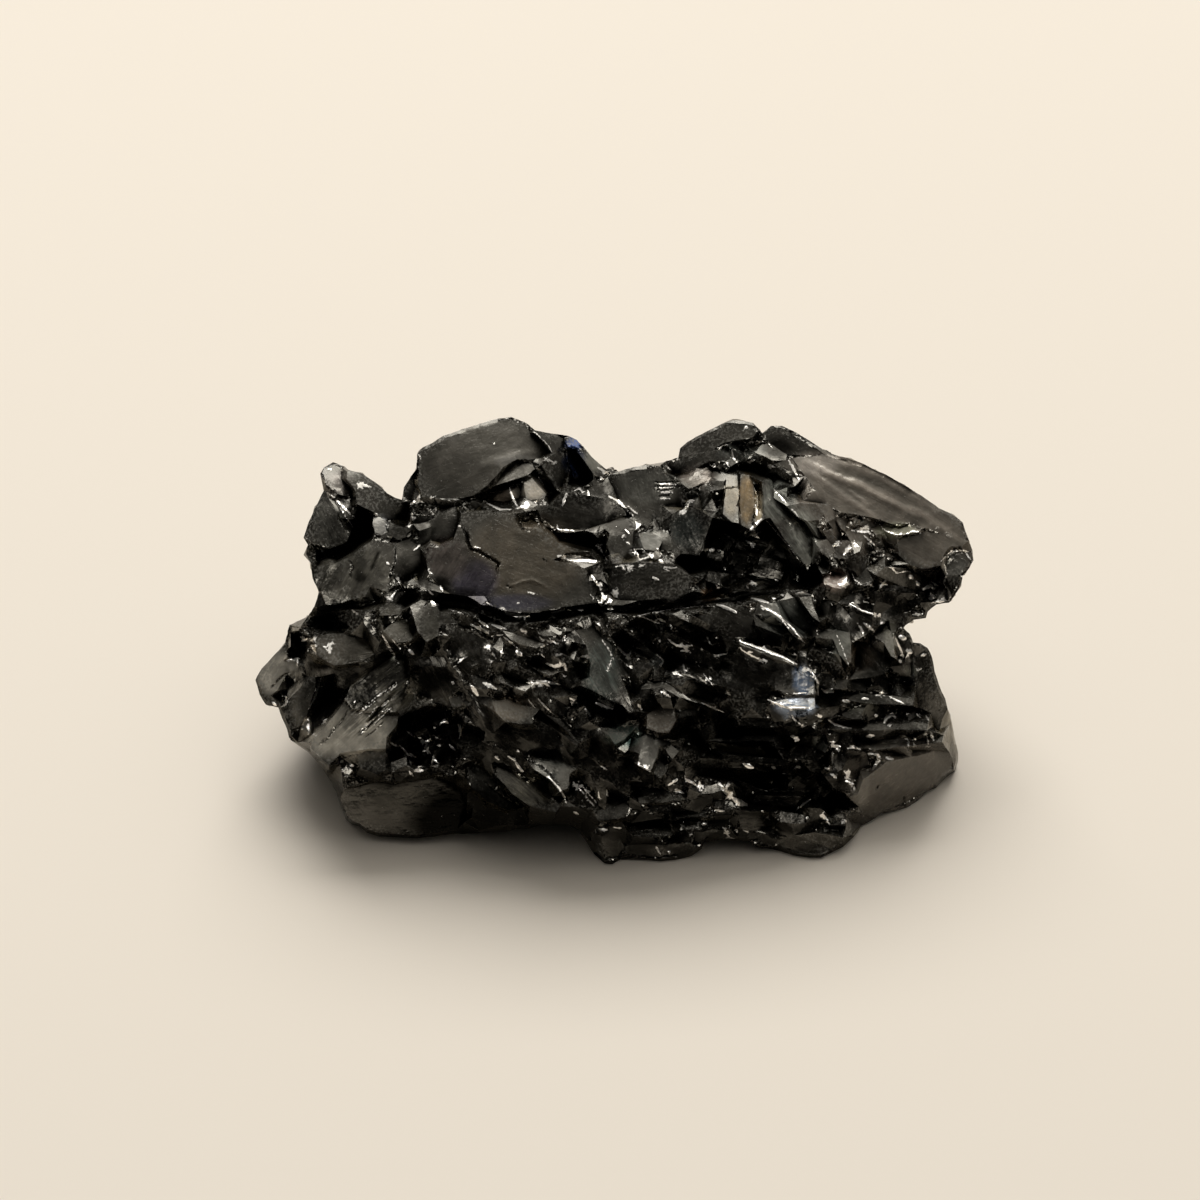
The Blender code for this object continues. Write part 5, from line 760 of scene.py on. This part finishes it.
def near_lines(spots):
    """Whether each spot lies near a crease, a narrow ridge or a bright edge."""
    near = np.zeros(len(spots), bool)
    for width, _, line in (*lines(HAIRLINES), *glints()):
        near[beside(spots, line, LINE_REACH + width / 2)[0]] = True
    for width, _, _, line in lines(RIDGES, 3):
        if width < NARROW_RIDGE:
            near[beside(spots, line, width / 2)[0]] = True
    return near


def near_ribs(spots):
    """Whether each spot lies on the ribs or on a ridge."""
    near = np.zeros(len(spots), bool)
    for middle, reach, _, turn, _, _ in rib_places():
        near |= reach_share(spots, middle, reach, turn) > 0.1
    for width, _, _, line in lines(RIDGES, 3):
        near[beside(spots, line, width / 2)[0]] = True
    return near


def hollowness(points, faces, turns=30):
    """How far each point lies below (or, if negative, above) its surroundings, in mm."""
    edges, _ = edge_table(faces)
    smooth = points.copy()
    for _ in range(turns):
        smooth = (smooth + neighbour_mean(smooth, edges)) / 2
    return ((smooth - points) * vertex_normals(points, faces)).sum(axis=1) / MM


# ---------------------------------------------------------------- relief and looks of the surface


def ribbed(points, faces, front, rng):
    """Raises the ribs along the grain and the long ridges, and cuts the hairline cracks, on the front."""
    relief = slanted(points)
    spots = relief[:, :2]
    wander = waves(relief, WANDER_SIZE, rng)
    ripple = waves(relief, RIPPLE_SIZE, rng)
    push = np.zeros(len(points))
    for middle, reach, number, turn, spacing, height in rib_places():
        turned = along_grain(relief, np.full(len(relief), number))
        phase = turned[:, 1] / spacing + RIB_WANDER * wander + RIB_RIPPLE * ripple
        profile = 2 * np.abs((phase % 1.0) - 0.5) ** RIB_POWER - 0.5
        push += reach_share(spots, middle, reach, turn) * front * height * (0.6 + 0.4 * ripple) * profile
    wobble = np.stack([ripple, wander], axis=1) * LINE_WOBBLE
    drawn = np.zeros(len(points))
    for width, height, _, line in lines(RIDGES, 3):
        raise_ridge(drawn, spots + wobble, line, width, height)
    for width, depth, line in lines(HAIRLINES):
        raise_ridge(drawn, spots + wobble * CRACK_WOBBLE, line, width, -depth)
    for width, _, line in glints():
        raise_ridge(drawn, spots + wobble * GLINT_WOBBLE, line, width * GLINT_FOOT, GLINT_HEIGHT * width)
    return points + vertex_normals(points, faces) * ((push + drawn * front) * MM)[:, None]


def splintered(points, faces, rough, front, rng):
    """Breaks the crumbled parts into fine steps that run along the grain, and ripples the back."""
    relief = slanted(points)
    along, side, _ = along_grain(relief, grain_of(relief[:, :2])).T
    wander = waves(relief, SPLINTER_SIZE, rng)
    broad = waves(relief, BROAD_SIZE, rng)
    steps = ((side / STEP_SPACING + STEP_WANDER * wander) % 1.0) - 0.5
    fine = ((side / FINE_SPACING + along / FINE_LENGTH + FINE_WANDER * wander) % 1.0) - 0.5
    crumbs = rng.normal(0, 1, len(points)).clip(-1.5, 1.5)
    push = rough * front * (STEP_HEIGHT * steps + FINE_HEIGHT * fine + CRUMB_HEIGHT * crumbs)
    level = along_bed(relief)[:, 1]
    ledges = ((level / LEDGE_SPACING + LEDGE_WANDER * wander + LEDGE_BROAD * broad) % 1.0) - 0.5
    push += (1 - front) * ((LEDGE_HEIGHT + ROUGH_LEDGE_HEIGHT * rough) * ledges + SWELL_HEIGHT * wander
                           + BACK_CRUMB_HEIGHT * rough * crumbs)
    return points + vertex_normals(points, faces) * (push * MM)[:, None]


def tones_and_painted_light(points, front):
    """The stone's colour at each point, with painted highlights and reflections from the listed tones,
    painted highlights along ridges and painted shade along grooves.
    """
    spots = slanted(points)[:, :2]
    colour = np.array(COMMON_TONE) * front[:, None] + np.array(HIDDEN_TONE) * (1 - front)[:, None]
    for middle, reach, (*tone_and_painted_light, amount) in ovals(TONES_AND_PAINTED_LIGHT):
        share = (reach_share(spots, middle, reach) * amount * front)[:, None]
        colour += share * (np.array(tone_and_painted_light) - colour)
    lighter = np.zeros(len(points))
    for width, _, light, line in lines(RIDGES, 3):
        raise_ridge(lighter, spots, line, width, light)
    return colour + (lighter * front)[:, None] * (RIDGE_LIGHT * colour + RIDGE_HIGHLIGHT_GREY)


def per_break(faces, label, count):
    """A number from 0 to 1 for each point: the mean of the lots drawn for the breaks that meet there."""
    lots = np.random.default_rng(SEED).random(int(label.max()) + 2)[label.astype(int)]
    total = np.bincount(faces.reshape(-1), weights=np.repeat(lots, 3), minlength=count)
    return total / np.maximum(np.bincount(faces.reshape(-1), minlength=count), 1)


def shade_and_dullness(points, faces, label, front):
    """How dark and dull the break is, 0 to 1: painted shade in listed places, where it overhangs and along
    creases, and dull patches on the back.
    """
    relief = slanted(points)
    spots = relief[:, :2]
    overhang = np.clip((OVERHANG - vertex_normals(points, faces)[:, 2]) / OVERHANG_SPAN, 0, 1)
    dull_and_shade = overhang * OVERHANG_SHADE
    patchy = per_break(faces, label, len(points)) * BACK_CONTRAST - BACK_CLEAN
    patchy = patchy + BACK_PATCHES * waves(relief, BACK_PATCH_SIZE, np.random.default_rng(SEED + 1))
    behind = np.maximum(dull_and_shade * BACK_OVERHANG, BACK_DULL) * np.clip(patchy, 0.0, 1.0)
    dull_and_shade = dull_and_shade * front + behind * (1 - front)
    # Listed overhangs keep no painted shade.
    for middle, reach, _ in ovals(NO_OVERHANG_SHADE):
        dull_and_shade *= 1 - reach_share(spots, middle, reach) * front
    for middle, reach, (amount,) in ovals(SHADED_AND_DULL):
        dull_and_shade = np.maximum(dull_and_shade, reach_share(spots, middle, reach) * amount * front)
    creased = np.zeros(len(points))
    for width, _, line in lines(HAIRLINES):
        raise_ridge(creased, spots, line, width * CREASE_WIDTH, 1.0)
    return np.maximum(dull_and_shade, np.clip(creased, 0, 1) * front)


def brightness(points, front):
    """How bright the painted glints along broken edges are, 0 to 1. Each thins out towards its ends."""
    spots = slanted(points)[:, :2]
    bright = np.zeros(len(points))
    for width, amount, line in glints():
        close, gap, place = beside(spots, line, GLINT_REACH * width)
        here = width * (1 - GLINT_THINNING * np.abs(2 * place - 1))
        share = np.clip(GLINT_CORE - GLINT_FALL * gap / here, 0, 1)
        bright[close] = np.maximum(bright[close], amount * share)
    return bright * front


def streakiness(points, front):
    """How fibrous the colour is: strongly so on the ribs, less on the back, faintly elsewhere."""
    spots = slanted(points)[:, :2]
    streaky = STREAKY + STREAKY_BACK * (1 - front)
    for middle, reach, _, turn, _, height in rib_places():
        share = reach_share(spots, middle, reach, turn)
        streaky = np.maximum(streaky, share * front * np.clip((height - LOW_RIB) / RIB_SPAN, 0.0, 1.0))
    return streaky


def finely_split(points, faces, rng):
    """The triangles split finely, and for each its roughness, its break and how far it faces the camera."""
    normals, areas = face_normals(points, faces)
    label = regions(faces, normals, CALM_ANGLE)
    size = np.bincount(label, weights=areas, minlength=len(faces)) / MM**2
    rough = np.where(size[label] > CALM_AREA, 0.0, 1.0)
    data = np.stack([rough, np.where(rough > 0.5, -1, label), facing_camera(normals)], axis=1)

    def longest(points, faces, data):
        spots = slanted(points[faces].mean(axis=1))[:, :2]
        shown = np.where(data[:, 0] > 0.5, CRUMBLE_EDGE, CALM_EDGE)
        shown = np.where(near_ribs(spots), np.minimum(shown, RIB_EDGE), shown)
        shown = np.where(near_lines(spots), LINE_EDGE, shown)
        turned = facing_camera(face_normals(points, faces)[0])
        return np.where(turned > HIDDEN_FROM, shown, HIDDEN_EDGE) * MM

    for _ in range(SPLIT_PASSES):
        points, faces, data, more = split_long_edges(points, faces, data, longest, rng)
        if not more:
            break
        points = relax(points, faces, data)
    return points, faces, data


def new_mesh(points, faces, smooth):
    """A mesh of these faces, sharp along edges that turn much, and smooth elsewhere where smooth says so."""
    mesh = bpy.data.meshes.new("stone")
    mesh.from_pydata(points, [], faces)
    mesh.set_sharp_from_angle(angle=SHARP_ANGLE)
    mesh.polygons.foreach_set("use_smooth", smooth)
    return mesh


def dressed_stone(cad):
    """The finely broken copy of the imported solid, with the values that its material reads."""
    rng = np.random.default_rng(SEED)
    points, faces = welded(cad)
    low, high = points.min(axis=0), points.max(axis=0)
    points, faces, data = finely_split(points, faces, rng)
    rough, label, facing = data.T
    calmest = gathered(np.minimum, 1.0, len(points), faces, rough)
    shown = gathered(np.maximum, -1.0, len(points), faces, facing)
    front = np.clip(shown * FRONT_SLOPE + FRONT_START, 0.0, 1.0)
    points = ribbed(points, faces, front, rng)
    points = splintered(points, faces, calmest, front, rng)
    points = np.clip(points, low, high)
    mesh = new_mesh(points, faces, rough < 0.5)

    number = np.repeat(grain_of(slanted(points[faces].mean(axis=1))[:, :2]), 3)
    corners = slanted(points[faces.reshape(-1)])
    behind = np.repeat(facing < BEHIND, 3)[:, None]
    turned = np.where(behind, along_bed(corners), along_grain(corners, number))
    mesh.attributes.new("grain", "FLOAT_VECTOR", "CORNER").data.foreach_set("vector", turned.reshape(-1))
    # The tone holds the stone's colour with painted highlights and reflections.
    colour = np.concatenate([tones_and_painted_light(points, front), np.ones((len(points), 1))], axis=1)
    mesh.color_attributes.new("tone_and_painted_light", "FLOAT_COLOR", "POINT").data.foreach_set("color", colour.reshape(-1))
    hollow = hollowness(points, faces)
    # The attributes: painted shade in hollows; paleness on broken edges and crests, as wear and as a painted
    # highlight; painted shade under overhangs, along creases and in listed places, with dull patches on the
    # back; and painted glints.
    for name, values in (
        ("edge", broken_edges(points, faces, rough < 0.5) * front),
        ("hollow", np.clip(hollow / HOLLOW_DEPTH, 0, 1) * (0.4 + 0.6 * front)),
        ("crest", np.clip(-hollow / CREST_HEIGHT - CREST_FROM, 0, 1) * front),
        ("dull_and_shade", shade_and_dullness(points, faces, label, front)),
        ("streaky", streakiness(points, front)),
        ("glint", brightness(points, front)),
    ):
        mesh.attributes.new(name, "FLOAT", "POINT").data.foreach_set("value", values)
    mesh.attributes.new("crumble", "FLOAT", "FACE").data.foreach_set("value", rough)
    return placed("stone", mesh)


def placed(name, data):
    """A new object with this data, in the scene."""
    item = bpy.data.objects.new(name, data)
    bpy.context.scene.collection.objects.link(item)
    return item


# ---------------------------------------------------------------- materials


class Nodes:
    """Adds and links shader nodes."""

    def __init__(self, tree):
        self.tree = tree

    def add(self, kind, inputs=None, **settings):
        node = self.tree.nodes.new("ShaderNode" + kind)
        for name, value in settings.items():
            setattr(node, name, value)
        for name, value in (inputs or {}).items():
            if isinstance(value, bpy.types.NodeSocket):
                self.tree.links.new(value, node.inputs[name])
            else:
                node.inputs[name].default_value = value
        return node

    def attribute(self, name, output="Fac"):
        return self.add("Attribute", attribute_name=name).outputs[output]

    def maths(self, operation, first, second=0.0, third=0.0):
        return self.add("Math", {0: first, 1: second, 2: third}, operation=operation).outputs[0]

    def vector(self, operation, first, second):
        return self.add("VectorMath", {0: first, 1: second}, operation=operation)

    def noise(self, vector, scale, detail=3.0, rough=0.55):
        settings = {"Vector": vector, "Scale": scale, "Detail": detail, "Roughness": rough}
        return self.add("TexNoise", settings).outputs[0]

    def remap(self, value, low, high, to_low, to_high):
        return self.add("MapRange", {0: value, 1: low, 2: high, 3: to_low, 4: to_high}).outputs[0]

    def mix(self, share, first, second):
        return self.add("Mix", {0: share, 2: first, 3: second}).outputs[0]

    def mix_colour(self, share, first, second):
        return self.add("Mix", {0: share, 6: first, 7: second}, data_type="RGBA").outputs[2]

    def bump(self, height, distance, strength, **more):
        settings = {"Height": height, "Distance": distance, "Strength": strength, **more}
        return self.add("Bump", settings).outputs[0]


def shattered(nodes, vector):
    """A height that falls into small flat cells, each tilted its own way."""
    cells = nodes.add("TexVoronoi", {"Vector": vector, "Scale": 1.0, "Randomness": 1.0})
    place = nodes.vector("SUBTRACT", vector, cells.outputs["Position"]).outputs[0]
    way = nodes.vector("SUBTRACT", cells.outputs["Color"], (0.5, 0.5, 0.5)).outputs[0]
    return nodes.vector("DOT_PRODUCT", place, way).outputs["Value"]


def new_material(name):
    material = bpy.data.materials.new(name)
    material.use_nodes = True
    return material, material.node_tree.nodes["Principled BSDF"]


def stone_material():
    """Glassy black stone: colour with painted highlights, painted shade with dullness, pale edges and painted
    glints come from the mesh, finer change from noise.
    """
    material, shader = new_material("shungite")
    nodes = Nodes(material.node_tree)
    link = material.node_tree.links.new
    grain, tone_and_painted_light = nodes.attribute("grain", "Vector"), nodes.attribute("tone_and_painted_light", "Color")
    crumble, edge, hollow, crest, dull_and_shade, streaky, glint = (
        nodes.attribute(name) for name in ("crumble", "edge", "hollow", "crest", "dull_and_shade", "streaky", "glint"))

    fibres = nodes.noise(nodes.vector("MULTIPLY", grain, FIBRES).outputs[0], 1.0, 4.0, 0.62)
    hackles = nodes.noise(nodes.vector("MULTIPLY", grain, HACKLES).outputs[0], 1.0, 2.0, 0.5)
    mottle = nodes.noise(grain, MOTTLE, 3.0, 0.6)
    speckle_noise = nodes.noise(grain, SPECKLE_SCALE, 2.0, 0.5)
    cells = shattered(nodes, nodes.vector("MULTIPLY", grain, CELLS).outputs[0])

    # Streaks on the ribs; painted shade darkens hollows, overhangs, creases and listed places, and the back's
    # dull patches darken too; edges and crests turn pale, as wear and as a painted highlight; painted glints
    # are bright.
    streaks = nodes.maths("MULTIPLY_ADD", fibres, 0.40, nodes.maths("MULTIPLY", mottle, 0.36))
    streaks = nodes.remap(nodes.maths("MULTIPLY_ADD", hackles, 0.24, streaks), *STREAKS_OF_NOISE)
    strong = nodes.maths("MULTIPLY_ADD", nodes.maths("POWER", streaks, 1.8), 2.9, 0.10)
    depth = nodes.mix(streaky, nodes.remap(mottle, *DEPTH_OF_MOTTLE), strong)
    dark = nodes.maths("MAXIMUM", hollow, dull_and_shade)
    depth = nodes.maths("MULTIPLY", depth, nodes.maths("MULTIPLY_ADD", dark, -0.85, 1.0))
    colour = nodes.add("VectorMath", {0: tone_and_painted_light, "Scale": depth}, operation="SCALE").outputs[0]
    speckled = nodes.remap(speckle_noise, *SPECKS_OF_EDGE_LIGHT)
    # Broken edges and crests turn pale in specks, as wear and as a painted highlight where they catch the
    # light.
    wear_and_highlight = nodes.maths("MULTIPLY", nodes.maths("MAXIMUM", edge, crest), speckled)
    wear_and_highlight = nodes.maths("MULTIPLY", wear_and_highlight, nodes.maths("SUBTRACT", 1.0, dull_and_shade))
    sparkle = nodes.maths("MULTIPLY_ADD", nodes.maths("SUBTRACT", speckle_noise, 0.5), 1.2, glint)
    sparkle = nodes.remap(sparkle, *SPARKLE_OF_GLINT)
    link(nodes.mix_colour(sparkle, nodes.mix_colour(wear_and_highlight, colour, EDGE_TONE), GLINT_TONE),
         shader.inputs["Base Color"])
    # Painted shade in hollows, under overhangs and in listed places, and the dull patches on the back, are a
    # near-black metal, which mirrors nothing, and a glint is a bright one.
    link(nodes.maths("MAXIMUM", dark, sparkle), shader.inputs["Metallic"])

    sheen = nodes.maths("MULTIPLY_ADD", fibres, 0.25, nodes.maths("MULTIPLY", mottle, 0.75))
    rough = nodes.mix(crumble, nodes.remap(sheen, *SATIN_OF_SHEEN), nodes.remap(speckle_noise, *MIRROR_OF_SPECKLE))
    link(nodes.mix(sparkle, rough, GLINT_ROUGHNESS), shader.inputs["Roughness"])
    shader.inputs["IOR"].default_value = IOR
    shader.inputs["Specular Tint"].default_value = SPECULAR_TINT

    broken = nodes.maths("MULTIPLY", cells, nodes.maths("MULTIPLY_ADD", crumble, 0.96, 0.04))
    fine = nodes.maths("MULTIPLY", nodes.maths("ADD", fibres, hackles), nodes.maths("ADD", streaky, 0.05))
    bump = nodes.bump(broken, CELL_BUMP, 1.0)
    bump = nodes.bump(fine, FIBRE_BUMP, 0.8, Normal=bump)
    link(nodes.bump(mottle, SWELL_BUMP, 0.8, Normal=bump), shader.inputs["Normal"])
    return material


def floor_material():
    material, shader = new_material("pale_floor")
    shader.inputs["Base Color"].default_value = FLOOR_TONE
    shader.inputs["Roughness"].default_value = 0.9
    shader.inputs["Specular IOR Level"].default_value = 0.1
    return material


# ---------------------------------------------------------------- light, floor and camera


def make_world():
    """A soft sky, brightest above and behind the stone. The camera sees a plain pale wall in its place."""
    world = bpy.data.worlds.new("studio")
    bpy.context.scene.world = world
    world.use_nodes = True
    world.node_tree.nodes.clear()
    nodes = Nodes(world.node_tree)
    brightest = (SKY_SIDE, math.cos(SKY_ELEVATION), math.sin(SKY_ELEVATION))
    toward = nodes.vector("DOT_PRODUCT", nodes.add("TexCoord").outputs["Generated"], brightest)
    sky = nodes.add("ValToRGB", {"Fac": toward.outputs["Value"]})
    ramp = sky.color_ramp
    ramp.interpolation = "B_SPLINE"
    ramp.elements[0].position, ramp.elements[1].position = 0.0, 1.0
    for position, _ in SKY_STOPS[1:-1]:
        ramp.elements.new(position)
    for element, (position, value) in zip(ramp.elements, SKY_STOPS):
        element.position = position
        element.color = (*(value / 2 * tint for tint in SKY_TINT), 1)
    light = nodes.add("Background", {"Color": sky.outputs["Color"], "Strength": SKY_STRENGTH})
    wall = nodes.add("Background", {"Color": WALL_TONE})
    seen = nodes.add("LightPath").outputs["Is Camera Ray"]
    mix = nodes.add("MixShader", {0: seen, 1: light.outputs[0], 2: wall.outputs[0]})
    nodes.add("OutputWorld", {"Surface": mix.outputs[0]})


def add_area(name, way, size, power, tint):
    """A rectangular light in this direction from the stone, aimed at it."""
    data = bpy.data.lights.new(name, "AREA")
    data.shape = "RECTANGLE"
    data.size, data.size_y = size
    data.energy = power
    data.color = tint
    lamp = placed(name, data)
    lamp.location = LIGHT_AIM + LIGHT_DISTANCE * Vector(way)
    lamp.rotation_euler = (LIGHT_AIM - lamp.location).to_track_quat("-Z", "Y").to_euler()
    lamp.visible_camera = False
    return lamp


def make_lights():
    """The lights around the stone."""
    way = (WINDOW_SIDE, math.cos(WINDOW_ELEVATION), math.sin(WINDOW_ELEVATION))
    add_area("window", way, WINDOW_SIZE, WINDOW_POWER, WINDOW_TINT)
    for name, azimuth, height, power in SPARKS:
        azimuth, height = math.radians(azimuth), math.radians(height)
        way = (math.sin(azimuth) * math.cos(height), -math.cos(azimuth) * math.cos(height), math.sin(height))
        add_area(name, way, SPARK_SIZE, power, SPARK_TINT).visible_diffuse = False


def make_floor():
    mesh = bpy.data.meshes.new("floor")
    corners = [(x * FLOOR_HALF, y * FLOOR_HALF, 0) for x, y in ((-1, -1), (1, -1), (1, 1), (-1, 1))]
    mesh.from_pydata(corners, [], [(0, 1, 2, 3)])
    mesh.materials.append(floor_material())
    floor = placed("floor", mesh)
    floor.location.z = -FLOOR_DROP


def make_camera():
    data = bpy.data.cameras.new("camera")
    data.sensor_width = SENSOR
    data.lens = SENSOR * CAMERA_DISTANCE / (VIEW_SPAN * MM)
    data.clip_end = 50
    camera = placed("camera", data)
    target = from_slanted(VIEW_ACROSS, VIEW_RISE, VIEW_HEIGHT)
    camera.location = target + CAMERA_DISTANCE * Vector((0, -math.cos(LEAN), math.sin(LEAN)))
    camera.rotation_euler = (math.pi / 2 - LEAN, 0, 0)
    bpy.context.scene.camera = camera


def main():
    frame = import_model()
    make_camera()
    make_world()
    make_lights()
    make_floor()
    stone = dressed_stone(frame["nodes"][NODE])
    stone.data.materials.append(stone_material())
    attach(stone, "root")
    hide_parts(NODE)
    bpy.context.scene.view_settings.view_transform = "Standard"


main()
